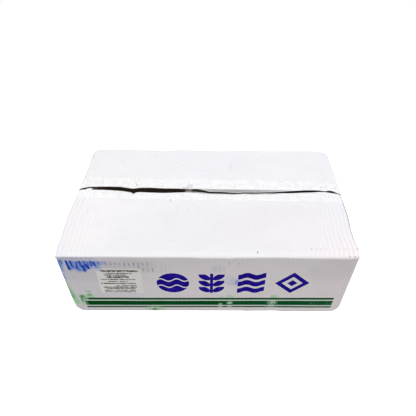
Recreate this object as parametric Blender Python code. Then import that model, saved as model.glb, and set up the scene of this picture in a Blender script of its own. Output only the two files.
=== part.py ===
"""A shut carton of white corrugated board, packed with salted seaweed stalks.

The carton is one solid: its two long flaps meet over the top and under the base, and a slit stays
open between the top pair. A strip of clear tape holds each pair and runs down both ends, and a
paper label sits on the front wall. +Z is up, the front wall faces -Y, and the origin is the middle
of the base. The square carton is built first. Then settle() gives every piece the same bulged,
slightly racked shape, so the pieces keep their gaps.
"""

import math

import bmesh
import bpy
from mathutils import Vector

# The carton, in metres
CARTON_WIDTH = 0.410
CARTON_DEPTH = 0.240
CARTON_HEIGHT = 0.134
BOARD_THICKNESS = 0.003
WALL_FOLD_RADIUS = 0.005
FLAP_FOLD_RADIUS = 0.0028
END_FOLD_RADIUS = 0.0024
FOLD_SEGMENTS = 4
FLAP_OVERLAP = 0.001
FLAP_RIM = 0.004

# The slit between the top flaps: (x, edge of the front flap, edge of the back flap)
SLIT_EDGES = (
    (-0.2050, 0.0116, 0.0132),
    (-0.1960, 0.0156, 0.0185),
    (-0.1850, 0.0133, 0.0202),
    (-0.1500, 0.0121, 0.0204),
    (-0.1180, 0.0070, 0.0168),
    (-0.1080, 0.0100, 0.0184),
    (-0.0300, 0.0096, 0.0164),
    (0.0170, 0.0053, 0.0155),
    (0.0840, 0.0056, 0.0146),
    (0.1440, 0.0109, 0.0145),
    (0.1940, 0.0104, 0.0142),
    (0.2050, 0.0036, 0.0062),
)
SLIT_DEPTH = 0.0045
SEAM_WIDTH = 0.0015
SEAM_DEPTH = 0.0035

# Tape and label, which are skins a little off the board
SKIN_GAP = 0.0003
SKIN_THICKNESS = 0.0003
TAPE_WIDTH = 0.048
TAPE_TOP_MIDDLE = 0.0143
TAPE_TOP_SLOPE = -0.0174
TAPE_TOP_LEG = 0.056
TAPE_BASE_LEG = 0.050
TAPE_BEND_RADIUS = 0.0006
TAPE_ROWS = 6
TAPE_BED_DEPTH = 0.0008
TAPE_BED_WIDTH = 0.050
LABEL_WIDTH = 0.060
LABEL_HEIGHT = 0.0575
LABEL_LEFT = -0.1556
LABEL_BOTTOM = 0.0492
LABEL_CELLS = 4

# How far the packed carton has moved from a square one
FLAP_RISE = 0.0014
END_BULGE = 0.0006
END_HUMP = 0.0014
END_HUMP_MIDDLE = -0.045
END_HUMP_REACH = 0.032
WALL_BULGE = 0.0012
RACK = 0.0056
TWIST = 0.0016
CRUSH_REACH = 0.020
CRUSHED_CORNERS = (
    (-1, -1, 0, 0.0050),
    (1, -1, 0, 0.0050),
    (-1, 1, 0, 0.0040),
    (1, 1, 0, 0.0040),
    (-1, 1, 1, 0.0015),
    (1, 1, 1, 0.0025),
)

# Distances from an end, a wall or the base at which the carton's faces are divided
EDGE_CUTS = (0.006, 0.013, 0.022)
CUT_SPACING = 0.030

HALF_WIDTH = CARTON_WIDTH / 2
HALF_DEPTH = CARTON_DEPTH / 2
BODY_TOP = CARTON_HEIGHT - BOARD_THICKNESS
CUTTER_MARGIN = 0.010
SHARP_ANGLE = math.radians(35)

WHITE_BOARD = ("white_board", (0.90, 0.90, 0.93), 0.62)
CLEAR_TAPE = ("clear_tape", (0.93, 0.93, 0.94), 0.22)
LABEL_PAPER = ("label_paper", (0.72, 0.69, 0.64), 0.70)


def clear_scene():
    for item in list(bpy.data.objects):
        bpy.data.objects.remove(item, do_unlink=True)


def finish_material(name, colour, roughness):
    material = bpy.data.materials.new(name)
    material.use_nodes = True
    shader = material.node_tree.nodes["Principled BSDF"]
    shader.inputs["Base Color"].default_value = (*colour, 1.0)
    shader.inputs["Roughness"].default_value = roughness
    shader.inputs["Metallic"].default_value = 0.0
    return material


def shade_round(mesh):
    """Smooth shading, apart from edges as sharp as a cut in the board."""
    mesh.shade_smooth()
    mesh.set_sharp_from_angle(angle=SHARP_ANGLE)


def new_piece(name, bm, material):
    """A named object with bm's shape, its faces pointing outwards."""
    bmesh.ops.recalc_face_normals(bm, faces=bm.faces)
    mesh = bpy.data.meshes.new(name)
    bm.to_mesh(mesh)
    bm.free()
    shade_round(mesh)
    if material:
        mesh.materials.append(material)
    piece = bpy.data.objects.new(name, mesh)
    bpy.context.collection.objects.link(piece)
    return piece


def smooth_step(value):
    value = min(1.0, max(0.0, value))
    return value * value * (3.0 - 2.0 * value)


def slit_middle(x):
    """The y of the slit's middle line at x, straight between the points of SLIT_EDGES."""
    for (x0, near0, far0), (x1, near1, far1) in zip(SLIT_EDGES, SLIT_EDGES[1:]):
        if x <= x1:
            share = min(1.0, max(0.0, (x - x0) / (x1 - x0)))
            return (near0 + far0) / 2 * (1 - share) + (near1 + far1) / 2 * share
    return (SLIT_EDGES[-1][1] + SLIT_EDGES[-1][2]) / 2


def flap_rise(x, y):
    """How far the contents lift the top flaps: nothing at their folds, most beside the slit."""
    middle = slit_middle(x)
    if y < middle:
        reach = (y + HALF_DEPTH) / (middle + HALF_DEPTH)
    else:
        reach = (HALF_DEPTH - y) / (HALF_DEPTH - middle)
    return FLAP_RISE * math.sin(math.pi / 2 * min(1.0, max(0.0, reach)))


def corner_crush(x, y, z):
    """The push towards the inside that the blunted corners give a point near them."""
    push = Vector((0.0, 0.0, 0.0))
    for side_x, side_y, upper, depth in CRUSHED_CORNERS:
        corner = Vector((side_x * HALF_WIDTH, side_y * HALF_DEPTH, upper * CARTON_HEIGHT))
        near = 1.0 - (Vector((x, y, z)) - corner).length / CRUSH_REACH
        if near > 0.0:
            inward = Vector((-side_x, -side_y, 1 - 2 * upper))
            push += inward * depth * near * near
    return push


def settle(point):
    """Where a point of the square carton lies on the packed one."""
    x, y, z = point
    height = min(1.0, max(0.0, z / CARTON_HEIGHT))
    across = min(1.0, abs(x) / HALF_WIDTH)
    along = min(1.0, abs(y) / HALF_DEPTH)
    lift = smooth_step(2.0 * height - 1.0)
    belly = math.sin(math.pi * height)
    moved = Vector((x, y, z)) + corner_crush(x, y, z)
    hump = math.exp(-(((y - END_HUMP_MIDDLE) / END_HUMP_REACH) ** 2))
    end_push = (END_BULGE * (1.0 - along * along) + END_HUMP * hump) * max(belly, lift)
    moved.x += math.copysign(end_push, x) * across**4
    moved.y += math.copysign(WALL_BULGE, y) * along**4 * (1.0 - across * across) * belly
    moved.z += lift * flap_rise(x, y)
    moved.z -= TWIST * height * (x / HALF_WIDTH) * (y + HALF_DEPTH) / CARTON_DEPTH
    moved.x += RACK * y / CARTON_DEPTH
    return moved


def settle_piece(piece):
    for vertex in piece.data.vertices:
        vertex.co = settle(vertex.co)


def edge_stations(half, spacing):
    """Cut positions from -half to half: close together near both ends, spacing apart between."""
    inner = half - EDGE_CUTS[-1]
    steps = math.ceil(2 * inner / spacing)
    stations = [-inner + 2 * inner * step / steps for step in range(steps + 1)]
    for cut in EDGE_CUTS[:-1]:
        stations += [cut - half, half - cut]
    return sorted(stations)


def bevel_where(bm, wanted, radius):
    edges = [edge for edge in bm.edges if all(wanted(vertex.co) for vertex in edge.verts)]
    bmesh.ops.bevel(
        bm, geom=edges, offset=radius, segments=FOLD_SEGMENTS, profile=0.5, affect="EDGES"
    )


def carton_body():
    """The four walls and the flaps folded over the ends, between the two outer pairs of flaps."""
    bm = bmesh.new()
    bmesh.ops.create_cube(bm, size=1.0)
    tall = BODY_TOP - BOARD_THICKNESS
    bmesh.ops.scale(bm, vec=(CARTON_WIDTH, CARTON_DEPTH, tall), verts=bm.verts)
    bmesh.ops.translate(bm, vec=(0, 0, CARTON_HEIGHT / 2), verts=bm.verts)
    upright = [edge for edge in bm.edges if abs(edge.verts[0].co.z - edge.verts[1].co.z) > tall / 2]
    bmesh.ops.bevel(
        bm,
        geom=upright,
        offset=WALL_FOLD_RADIUS,
        segments=FOLD_SEGMENTS,
        profile=0.5,
        affect="EDGES",
    )
    for level in (BOARD_THICKNESS, BODY_TOP):
        for side in (-1, 1):
            bevel_where(
                bm,
                lambda co: abs(co.z - level) < 1e-5 and co.x * side > HALF_WIDTH - 1e-5,
                END_FOLD_RADIUS,
            )
    return new_piece("carton", bm, None)


def flap_section(direction):
    """The outline in Y and Z of one outer pair of flaps, with the folds into the two walls."""
    outer = CARTON_HEIGHT if direction > 0 else 0.0
    rim = outer - direction * BOARD_THICKNESS
    inner = rim - direction * FLAP_OVERLAP
    middle = outer - direction * FLAP_FOLD_RADIUS
    points = []
    for side in (-1, 1):
        centre = side * (HALF_DEPTH - FLAP_FOLD_RADIUS)
        turns = range(FOLD_SEGMENTS + 1) if side < 0 else range(FOLD_SEGMENTS, -1, -1)
        arc = []
        for turn in turns:
            angle = math.pi / 2 * turn / FOLD_SEGMENTS
            out = FLAP_FOLD_RADIUS * math.cos(angle)
            up = FLAP_FOLD_RADIUS * math.sin(angle)
            arc.append((centre + side * out, middle + direction * up))
        wall = (side * HALF_DEPTH, rim)
        points += [wall, *arc] if side < 0 else [*arc, wall]
    shelf = HALF_DEPTH - FLAP_RIM
    return [*points, (shelf, rim), (shelf, inner), (-shelf, inner), (-shelf, rim)]


def flap_pair(name, direction):
    """One outer pair of flaps as a plate as long as the carton."""
    bm = bmesh.new()
    outline = [bm.verts.new((-HALF_WIDTH, y, z)) for y, z in flap_section(direction)]
    face = bm.faces.new(outline)
    extruded = bmesh.ops.extrude_face_region(bm, geom=[face])
    ends = [item for item in extruded["geom"] if isinstance(item, bmesh.types.BMVert)]
    bmesh.ops.translate(bm, vec=(CARTON_WIDTH, 0, 0), verts=ends)
    return new_piece(name, bm, None)


def slit_cutter():
    """The space between the top flaps, open at both ends of the carton."""
    bm = bmesh.new()
    start = (-HALF_WIDTH - CUTTER_MARGIN, SLIT_EDGES[0][1], SLIT_EDGES[0][2])
    stop = (HALF_WIDTH + CUTTER_MARGIN, SLIT_EDGES[-1][1], SLIT_EDGES[-1][2])
    stations = [start, *SLIT_EDGES, stop]
    outline = [(x, near) for x, near, far in stations]
    outline += [(x, far) for x, near, far in reversed(stations)]
    floor = CARTON_HEIGHT - SLIT_DEPTH
    face = bm.faces.new([bm.verts.new((x, y, floor)) for x, y in outline])
    extruded = bmesh.ops.extrude_face_region(bm, geom=[face])
    upper = [item for item in extruded["geom"] if isinstance(item, bmesh.types.BMVert)]
    bmesh.ops.translate(bm, vec=(0, 0, SLIT_DEPTH + CUTTER_MARGIN), verts=upper)
    return new_piece("slit_cutter", bm, None)


def base_cutter(name, width, depth):
    """A channel along the middle of the base."""
    bm = bmesh.new()
    bmesh.ops.create_cube(bm, size=1.0)
    length = CARTON_WIDTH + 2 * CUTTER_MARGIN
    bmesh.ops.scale(bm, vec=(length, width, depth + CUTTER_MARGIN), verts=bm.verts)
    bmesh.ops.translate(bm, vec=(0, 0, (depth - CUTTER_MARGIN) / 2), verts=bm.verts)
    return new_piece(name, bm, None)


def combine(piece, other, operation):
    """Joins other to piece, or cuts it out, and removes other."""
    change = piece.modifiers.new(operation.lower(), "BOOLEAN")
    change.operation = operation
    change.solver = "EXACT"
    change.object = other
    bpy.context.view_layer.update()
    evaluated = piece.evaluated_get(bpy.context.evaluated_depsgraph_get())
    mesh = bpy.data.meshes.new_from_object(evaluated)
    piece.modifiers.clear()
    piece.data = mesh
    bpy.data.objects.remove(other, do_unlink=True)


def divide_faces(piece):
    """Cuts the faces at regular stations, so that settle() can bend them."""
    bm = bmesh.new()
    bm.from_mesh(piece.data)
    cuts = [(Vector((x, 0, 0)), Vector((1, 0, 0))) for x in edge_stations(HALF_WIDTH, CUT_SPACING)]
    cuts += [(Vector((0, y, 0)), Vector((0, 1, 0))) for y in edge_stations(HALF_DEPTH, CUT_SPACING)]
    upright = edge_stations(CARTON_HEIGHT / 2, CUT_SPACING)
    cuts += [(Vector((0, 0, z + CARTON_HEIGHT / 2)), Vector((0, 0, 1))) for z in upright]
    for place, normal in cuts:
        everything = bm.verts[:] + bm.edges[:] + bm.faces[:]
        bmesh.ops.bisect_plane(bm, geom=everything, dist=1e-6, plane_co=place, plane_no=normal)
    bmesh.ops.remove_doubles(bm, verts=bm.verts, dist=2e-5)
    bmesh.ops.recalc_face_normals(bm, faces=bm.faces)
    bm.to_mesh(piece.data)
    bm.free()


def make_carton(material):
    carton = carton_body()
    combine(carton, flap_pair("top_flaps", 1), "UNION")
    combine(carton, flap_pair("base_flaps", -1), "UNION")
    combine(carton, slit_cutter(), "DIFFERENCE")
    combine(carton, base_cutter("tape_bed", TAPE_BED_WIDTH, TAPE_BED_DEPTH), "DIFFERENCE")
    combine(carton, base_cutter("base_seam", SEAM_WIDTH, SEAM_DEPTH), "DIFFERENCE")
    divide_faces(carton)
    settle_piece(carton)
    shade_round(carton.data)
    carton.data.materials.clear()
    carton.data.materials.append(material)
    return carton


def tape_path(height, direction, leg):
    """Points in X and Z of a strip at height, with a leg down or up both ends."""
    out = HALF_WIDTH + SKIN_GAP
    bend = out - TAPE_BEND_RADIUS
    level = height - direction * TAPE_BEND_RADIUS
    foot = height - direction * leg
    leg_steps = math.ceil(leg / (CUT_SPACING / 2))
    side = [(out, foot + (level - foot) * step / leg_steps) for step in range(leg_steps)]
    for turn in range(FOLD_SEGMENTS + 1):
        angle = math.pi / 2 * turn / FOLD_SEGMENTS
        sideways = TAPE_BEND_RADIUS * math.cos(angle)
        upward = TAPE_BEND_RADIUS * math.sin(angle)
        side.append((bend + sideways, level + direction * upward))
    middle = [(x, height) for x in edge_stations(HALF_WIDTH, CUT_SPACING) if abs(x) < bend - 0.003]
    return [(-x, z) for x, z in side] + middle + list(reversed(side))


def make_tape(name, path, middle, slope, material):
    """A strip along path. Its middle line lies at y = middle + slope * x."""
    bm = bmesh.new()
    rows = []
    for x, z in path:
        centre = middle + slope * x
        row = []
        for step in range(TAPE_ROWS + 1):
            y = centre + TAPE_WIDTH * (step / TAPE_ROWS - 0.5)
            row.append(bm.verts.new(settle((x, y, z))))
        rows.append(row)
    for row, following in zip(rows, rows[1:]):
        for step in range(TAPE_ROWS):
            bm.faces.new((row[step], following[step], following[step + 1], row[step + 1]))
    return new_skin(name, bm, material)


def make_label(material):
    """The paper label, a flat sheet that follows the front wall's bulge."""
    bm = bmesh.new()
    front = -HALF_DEPTH - SKIN_GAP
    rows = []
    for up in range(LABEL_CELLS + 1):
        z = LABEL_BOTTOM + LABEL_HEIGHT * up / LABEL_CELLS
        row = []
        for over in range(LABEL_CELLS + 1):
            x = LABEL_LEFT + LABEL_WIDTH * over / LABEL_CELLS
            row.append(bm.verts.new(settle((x, front, z))))
        rows.append(row)
    for row, following in zip(rows, rows[1:]):
        for over in range(LABEL_CELLS):
            bm.faces.new((row[over], row[over + 1], following[over + 1], following[over]))
    return new_skin("label", bm, material)


def new_skin(name, bm, material):
    """A sheet given its thickness on the side away from the carton."""
    skin = new_piece(name, bm, material)
    centre = Vector((0, 0, CARTON_HEIGHT / 2))
    outward = sum(face.normal.dot(face.center - centre) * face.area for face in skin.data.polygons)
    if outward < 0:
        skin.data.flip_normals()
    solid = skin.modifiers.new("thickness", "SOLIDIFY")
    solid.thickness = SKIN_THICKNESS
    solid.offset = 1.0
    return skin


def main():
    clear_scene()
    board = finish_material(*WHITE_BOARD)
    tape = finish_material(*CLEAR_TAPE)
    make_carton(board)
    top_level = CARTON_HEIGHT + SKIN_GAP
    top_path = tape_path(top_level, 1, TAPE_TOP_LEG)
    make_tape("tape_top", top_path, TAPE_TOP_MIDDLE, TAPE_TOP_SLOPE, tape)
    base_level = TAPE_BED_DEPTH - SKIN_GAP
    base_path = tape_path(base_level, -1, TAPE_BASE_LEG)
    make_tape("tape_base", base_path, 0.0, 0.0, tape)
    make_label(finish_material(*LABEL_PAPER))


main()
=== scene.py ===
import math

import bmesh
import bpy
import numpy as np
from bpy.props import FloatProperty, FloatVectorProperty, PointerProperty
from mathutils import Euler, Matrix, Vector


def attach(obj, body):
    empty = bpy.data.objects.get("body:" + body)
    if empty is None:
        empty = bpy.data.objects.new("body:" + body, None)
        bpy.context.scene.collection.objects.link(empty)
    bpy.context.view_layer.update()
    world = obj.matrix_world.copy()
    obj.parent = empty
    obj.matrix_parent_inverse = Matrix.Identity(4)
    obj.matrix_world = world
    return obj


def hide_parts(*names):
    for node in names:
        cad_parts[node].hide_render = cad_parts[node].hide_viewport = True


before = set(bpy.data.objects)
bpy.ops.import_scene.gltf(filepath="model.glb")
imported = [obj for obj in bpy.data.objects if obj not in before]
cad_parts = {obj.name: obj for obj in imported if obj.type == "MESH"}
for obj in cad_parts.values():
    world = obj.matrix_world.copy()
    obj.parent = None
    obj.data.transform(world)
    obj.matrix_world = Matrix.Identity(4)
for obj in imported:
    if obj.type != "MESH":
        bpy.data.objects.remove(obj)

bl_info = {
    "name": "Taped White Carton",
    "version": (1, 0, 0),
    "blender": (4, 5, 0),
    "location": "View3D > Sidebar > Carton",
    "description": "Builds a shut and taped carton of white corrugated board, with its print and dirt",
    "category": "Object",
}

MM = 0.001

# The slit between the top flaps, in mm: x, edge of the front flap, edge of the back flap
SLIT = (
    (-205.0, 10.5, 12.0), (-200.0, 12.0, 16.5), (-191.0, 12.3, 19.3), (-167.0, 12.2, 19.9),
    (-142.0, 10.4, 19.8), (-127.0, 7.8, 16.8), (-121.5, 6.0, 15.5), (-117.5, 2.8, 16.0),
    (-114.0, 6.7, 16.7), (-108.0, 7.3, 17.7), (-95.0, 6.6, 17.9), (-70.0, 5.9, 16.7),
    (-46.0, 7.4, 16.3), (-30.0, 7.5, 16.0), (1.0, 3.4, 15.5), (17.0, 3.0, 15.1), (41.0, 2.6, 14.7),
    (53.0, 4.2, 14.7), (65.0, 3.0, 14.6), (105.0, 4.4, 14.2), (128.0, 6.6, 14.0), (160.0, 7.5, 14.3),
    (184.0, 8.3, 14.9), (195.0, 6.5, 13.0), (201.0, 4.2, 9.6), (205.0, 4.0, 4.6),
)
# What shows dark through the film, painted dark brown as the slit's shade, in mm: x, lower edge, upper edge,
# share of it that is dark
OPENING = (
    (-205.5, 12.4, 15.2, 0.35), (-200.0, 13.5, 18.4, 0.9), (-197.0, 14.2, 19.1, 0.95),
    (-194.0, 15.5, 20.0, 0.55), (-191.0, 17.0, 20.7, 0.8), (-188.0, 17.0, 20.8, 1.0),
    (-184.0, 14.4, 21.0, 0.8), (-178.0, 10.8, 21.8, 1.0), (-150.0, 7.7, 21.4, 1.0),
    (-127.0, 4.2, 19.8, 1.0), (-118.0, 1.5, 19.0, 1.0), (-108.0, 3.3, 19.2, 1.0),
    (-60.0, 3.9, 18.5, 1.0), (-41.0, 7.0, 17.3, 1.0), (-36.0, 10.3, 16.3, 0.7),
    (-31.0, 10.3, 16.8, 0.6), (-26.0, 9.6, 17.0, 0.95), (-11.0, 8.0, 13.2, 1.0), (0.0, 5.5, 9.4, 1.0),
    (22.0, 5.0, 8.9, 1.0), (44.0, 3.8, 6.4, 0.9), (55.0, 5.6, 8.3, 0.85), (66.0, 5.2, 8.1, 0.9),
    (77.0, 5.5, 8.3, 0.75), (88.0, 6.3, 9.1, 0.75), (98.0, 5.8, 9.0, 0.95), (110.0, 6.9, 10.4, 1.0),
    (131.0, 7.4, 12.3, 1.0), (150.0, 8.7, 13.7, 1.0), (164.0, 9.3, 14.0, 1.0),
    (172.0, 10.1, 13.9, 0.95), (182.0, 9.7, 12.8, 0.7), (186.0, 8.6, 13.7, 1.0),
    (191.0, 7.4, 13.0, 1.0), (194.0, 7.0, 11.7, 1.0), (197.0, 6.1, 9.1, 0.9), (203.0, 2.5, 5.2, 0.5),
)
# Lightness of the hazy film over the slit, a grey painted as the shade of the gap under it: x in mm, grey
SHADED_VEIL = (
    (-205.0, 0.70), (-192.0, 0.86), (-182.0, 0.86), (-176.0, 0.62), (-60.0, 0.40), (-38.0, 0.22),
    (-30.0, 0.18), (-22.0, 0.30), (-8.0, 0.40), (40.0, 0.34), (100.0, 0.42), (118.0, 0.55),
    (150.0, 0.70), (172.0, 0.80), (205.0, 0.82),
)
# Thin line of painted shade in the film in front of the slit, in mm: x, y, and its strength
CREASE = (
    (-203.0, 10.0), (-196.0, 9.6), (-184.0, 9.2), (-150.0, 8.0), (-126.0, 6.0), (118.0, 6.4),
    (160.0, 7.4), (178.0, 7.6),
)
CREASE_SHADE = (
    (-203.0, 0.0), (-196.0, 0.16), (-132.0, 0.24), (-124.0, 0.0), (112.0, 0.0), (126.0, 0.30),
    (165.0, 0.26), (176.0, 0.0),
)
# Corners that have been blunted: side in x, side in y, top or base, depth and reach in mm
BLUNTED = (
    (-1, -1, 0, 2.8, 12.0), (1, -1, 0, 3.0, 14.0), (-1, 1, 0, 3.0, 15.0),
    (1, 1, 0, 3.0, 15.0), (-1, 1, 1, 2.0, 18.0), (1, 1, 1, 2.0, 17.0),
)
# How far the front fold has sunk, in mm: x, depth
FOLD_SAG = (
    (-205.0, -0.4), (-182.0, -0.3), (-166.0, 0.0), (-150.0, -0.3), (-133.0, -0.5), (-101.0, -0.2),
    (-80.0, 0.1), (-53.0, -0.2), (-36.0, -0.2), (-20.0, 0.4), (-4.0, 1.5), (12.0, 1.2), (28.0, 1.9),
    (44.0, 0.9), (61.0, 0.8), (77.0, 0.2), (93.0, -0.1), (109.0, 0.6), (125.0, 0.9), (142.0, 1.4),
    (158.0, 1.5), (174.0, 1.9), (190.0, 2.0), (205.0, 1.3),
)
FOLD_SAG_REACH = 5.0
# How far the front wall's foot stands out, in mm: x, distance
FOOT_PUSH = (
    (-205.0, 0.3), (-180.0, 0.4), (-160.0, 0.2), (-130.0, 0.1), (-100.0, 0.2), (-50.0, 0.1),
    (55.0, 0.1), (63.0, 0.9), (76.0, 0.1), (93.0, 0.2), (101.0, -0.2), (108.0, 0.2), (118.0, 1.4),
    (160.0, 1.4), (180.0, 1.1), (205.0, 1.2),
)
FOOT_PUSH_REACH = 9.0
# How far the foot of the left corner lies inward, and how high that reaches, in mm
FOOT_INWARD = 2.6
FOOT_INWARD_REACH = 16.0
# How far the back fold has risen, in mm: x, height
BACK_RISE = (
    (-205.0, 0.0), (-183.0, 0.6), (-142.0, 1.2), (-125.0, 0.8), (-111.0, -0.3), (-95.0, -0.1),
    (-80.0, -0.2), (-66.0, 0.1), (-55.0, 0.9), (-38.0, 0.9), (-20.0, 0.1), (0.0, -0.5), (25.0, -0.3),
    (38.0, 0.4), (62.0, 0.6), (76.0, 0.4), (90.0, 0.3), (107.0, -0.1), (120.0, 0.7), (138.0, 0.9),
    (150.0, 1.5), (172.0, 1.5), (184.0, 0.4), (195.0, -0.3), (205.0, -1.0),
)
BACK_RISE_REACH = 25.0
# How far the ends stand out beyond their even bulge, in mm: y, left end, right end
END_PUSH = (
    (-121.0, 0.4, 1.2), (-108.0, 2.0, 2.8), (-99.0, 2.0, 2.8), (-85.0, 1.1, 0.5), (-67.0, 1.4, -0.4),
    (-49.0, 1.1, 0.2), (-31.0, 0.9, 0.6), (-13.0, 0.1, 0.7), (0.0, -0.4, 0.6), (15.0, -0.7, 0.7),
    (27.0, -0.9, 0.8), (52.0, -1.8, 0.4), (65.0, -1.8, 0.0), (79.0, -1.3, -0.3), (93.0, -1.2, -0.1),
    (107.0, -1.0, -0.6), (120.0, -0.9, -0.9),
)
# How the whole carton leans, twists and swells, in mm
RACK = 5.6
TWIST = 1.6
FLAP_RISE = 1.4
END_BULGE = 0.6
END_HUMP = 1.4
END_HUMP_MIDDLE = -45.0
END_HUMP_REACH = 32.0
WALL_BULGE = 1.2

# Radii of the folds, and how the board's edges lie, in mm, with one angle
WALL_FOLD = 2.4
WALL_RIDGE = 10.5
WALL_RIDGE_TURN = math.radians(5.0)
TOP_FOLD = 2.4
BASE_FOLD = 1.5
END_FOLD = 2.4
CORNER_OPENS = 7.0
LINER = 0.35
LIP_OPENS = 1.5
LIP_LIFT = 1.6
LIP_FOLD_TIGHTENS = 1.5
LEFT_FLAP_GAP = 0.3
RIGHT_FLAP_GAP = 0.4
FLAP_BEVEL = 0.12
FLAP_TAKES_UP = 4.0

# The slit on top and the seam below, in mm
SLIT_SHUTS_FROM = 1.6
SLIT_SHUTS_OVER = 1.5
CAVITY = 4.0
SLIT_WELL = 7.0
SLIT_FLOOR = 121.0
SEAM = 1.5
SEAM_FLOOR = 3.4

# How finely the board is meshed, in mm and in steps
STEPS_PER_FLUTE = 6
EVEN_MARGIN = 14.0
END_STEPS = 20
WIDEST_STEP = 7.0

# Films and label, in mm
FILM_LIFT = 0.06
BASE_FILM_LIFT = 0.02
FILM_THICKNESS = 0.05
FILM_TURN = 1.4
LABEL_LIFT = 0.05

# The fluting's paper and the room that it leaves between the liners, in m
FLUTE_PAPER = 0.00026
FLUTE_CLEARANCE = 0.0003

# How near to a wall, its folded corner, its outer band or the top a point counts as part of it, in mm
WALL_MARGIN = 1.3
CORNER_MARGIN = 2.6
BAND_MARGIN = 7.0
TOP_MARGIN = 0.4
# Height from which the upper film carries the top's marks, in mm
FILM_MARKS_FROM = 100.0

# Where the print and the marks lie, in mm
TICK_SHIFT = 2.2
MOTIF_MIDDLES = (-49.5, 6.2, 63.6, 122.6)
MOTIF_HEIGHT = 75.9
STRIPES = ((31.6, 36.9), (16.7, 28.7), (10.1, 13.8))
STRIPE_LEFT = -186.4
STRIPE_RIGHT = 190.8
# Grey patches of painted shade near both ends of the front wall, in mm: middle, reach
LEFT_SHADE = ((-176.0, 94.0), (26.0, 17.0))
RIGHT_SHADE = ((172.0, 104.0), (30.0, 26.0))

# The third finish paints the hidden insides near black as shade
LINER_SIDE, CUT_SIDE, SHADE_SIDE = 0, 1, 2

# Smears on the front wall, in mm: ink, noise, x, z, reach in x, reach in z, raggedness, strength
SMEARS = (
    ("pale", "streak", -180.0, 39.5, 11.0, 6.0, 1.9, 0.80),
    ("pale", "streak", -175.0, 50.5, 4.0, 4.0, 2.2, 0.40),
    ("pale", "streak", -189.0, 27.0, 4.0, 11.0, 1.7, 0.70),
    ("green", "fine", -188.0, 40.0, 4.0, 4.0, 2.2, 0.80),
    ("green", "fine", -175.5, 44.5, 3.6, 2.6, 2.2, 0.65),
    ("green", "fine", -189.0, 33.0, 2.4, 8.0, 2.4, 0.75),
    ("green", "streak", -176.5, 53.5, 4.0, 1.6, 2.4, 0.40),
    ("pale", "streak", -81.0, 6.5, 15.0, 4.5, 2.0, 0.65),
    ("green", "streak", -81.0, 5.0, 4.5, 3.2, 2.2, 0.65),
    ("pale", "streak", 35.0, 40.0, 5.6, 5.6, 2.0, 0.55),
    ("pale", "streak", 22.0, 39.0, 4.5, 4.0, 2.2, 0.40),
    ("pale", "streak", 101.0, 40.0, 7.0, 5.6, 2.2, 0.62),
    ("green", "fine", 100.0, 38.0, 5.0, 2.5, 2.4, 0.35),
    ("haze", "streak", 38.0, 79.0, 9.0, 8.0, 2.2, 0.16),
    ("blue", "streak", 43.4, 77.0, 2.4, 6.0, 1.2, 0.50),
    ("haze", "streak", 43.0, 78.0, 3.5, 7.5, 1.4, 0.50),
    ("haze", "streak", 14.0, 110.0, 10.0, 8.0, 2.4, 0.10),
    ("haze", "streak", 26.0, 84.0, 13.0, 12.0, 2.4, 0.08),
    ("haze", "mid", -151.5, 110.2, 6.5, 2.4, 0.9, 0.55),
    ("haze", "mid", -182.0, 122.0, 36.0, 9.0, 0.9, 0.14),
    ("dirt", "mid", -106.0, 113.0, 40.0, 14.0, 1.4, 0.10),
)
# Strokes of blue, in mm: x and z of both ends, thickness, strength
BLUE_STROKES = (
    (-192.0, 125.0, -191.3, 107.0, 3.6, 1.00), (-186.2, 125.0, -185.8, 112.0, 2.8, 0.95),
    (-178.3, 123.5, -179.8, 109.0, 2.5, 0.80), (-174.7, 125.0, -172.7, 112.0, 2.6, 0.90),
    (-170.2, 115.0, -170.6, 103.5, 3.8, 0.90), (-167.7, 125.0, -167.4, 117.0, 2.3, 0.80),
    (-166.0, 117.5, -164.4, 109.5, 3.4, 1.00), (-163.5, 124.0, -162.6, 117.0, 2.0, 0.60),
    (-159.5, 125.0, -158.6, 115.0, 2.2, 0.85), (-155.6, 122.5, -153.6, 114.5, 2.5, 0.90),
    (-148.6, 124.0, -148.2, 117.0, 1.8, 0.55), (-140.4, 124.0, -140.2, 118.0, 1.4, 0.32),
    (-198.6, 126.5, -198.2, 119.0, 2.6, 0.65), (-182.5, 113.0, -177.0, 106.0, 2.4, 0.55),
)
# Lower border of the blue scuff, in mm: x, z
BLUE_FOOT = (
    (-194.0, 104.0), (-190.0, 103.0), (-186.0, 108.0), (-182.0, 103.0), (-174.0, 100.0), (-168.0, 103.0),
    (-164.0, 107.0), (-158.0, 111.0), (-152.0, 111.5), (-147.0, 114.5), (-142.0, 117.0), (-136.0, 119.0),
)
# Places where the stripes are rubbed, in mm: x, z, reach in x, reach in z, strength
RUBBED = (
    (20.5, 15.5, 3.4, 8.0, 0.80), (34.5, 24.0, 5.0, 4.5, 0.90), (34.5, 14.0, 5.0, 4.0, 0.60),
    (99.0, 25.0, 7.0, 6.5, 0.90), (98.0, 12.5, 8.0, 4.0, 0.50), (-183.5, 33.5, 4.5, 3.5, 0.60),
    (-184.0, 22.0, 2.2, 7.0, 0.25), (-82.0, 11.5, 12.0, 2.4, 0.60),
)
# Rows of rubbing marks in the flutes' rhythm, in mm: left, right, low, high, strength
MARKS = (
    (-139.0, -112.0, 116.0, 122.5, 0.56), (-113.0, -76.0, 115.0, 122.5, 0.66),
    (-95.0, -72.0, 102.0, 111.0, 0.50), (-104.0, -90.0, 109.0, 115.0, 0.38),
    (28.0, 50.0, 119.4, 122.4, 0.50), (96.0, 140.0, 117.0, 123.0, 0.16),
    (6.0, 27.0, 100.0, 117.0, 0.12), (-66.0, -50.0, 96.0, 122.0, 0.10),
    (-40.0, 60.0, 123.0, 126.0, 0.08),
)
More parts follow.
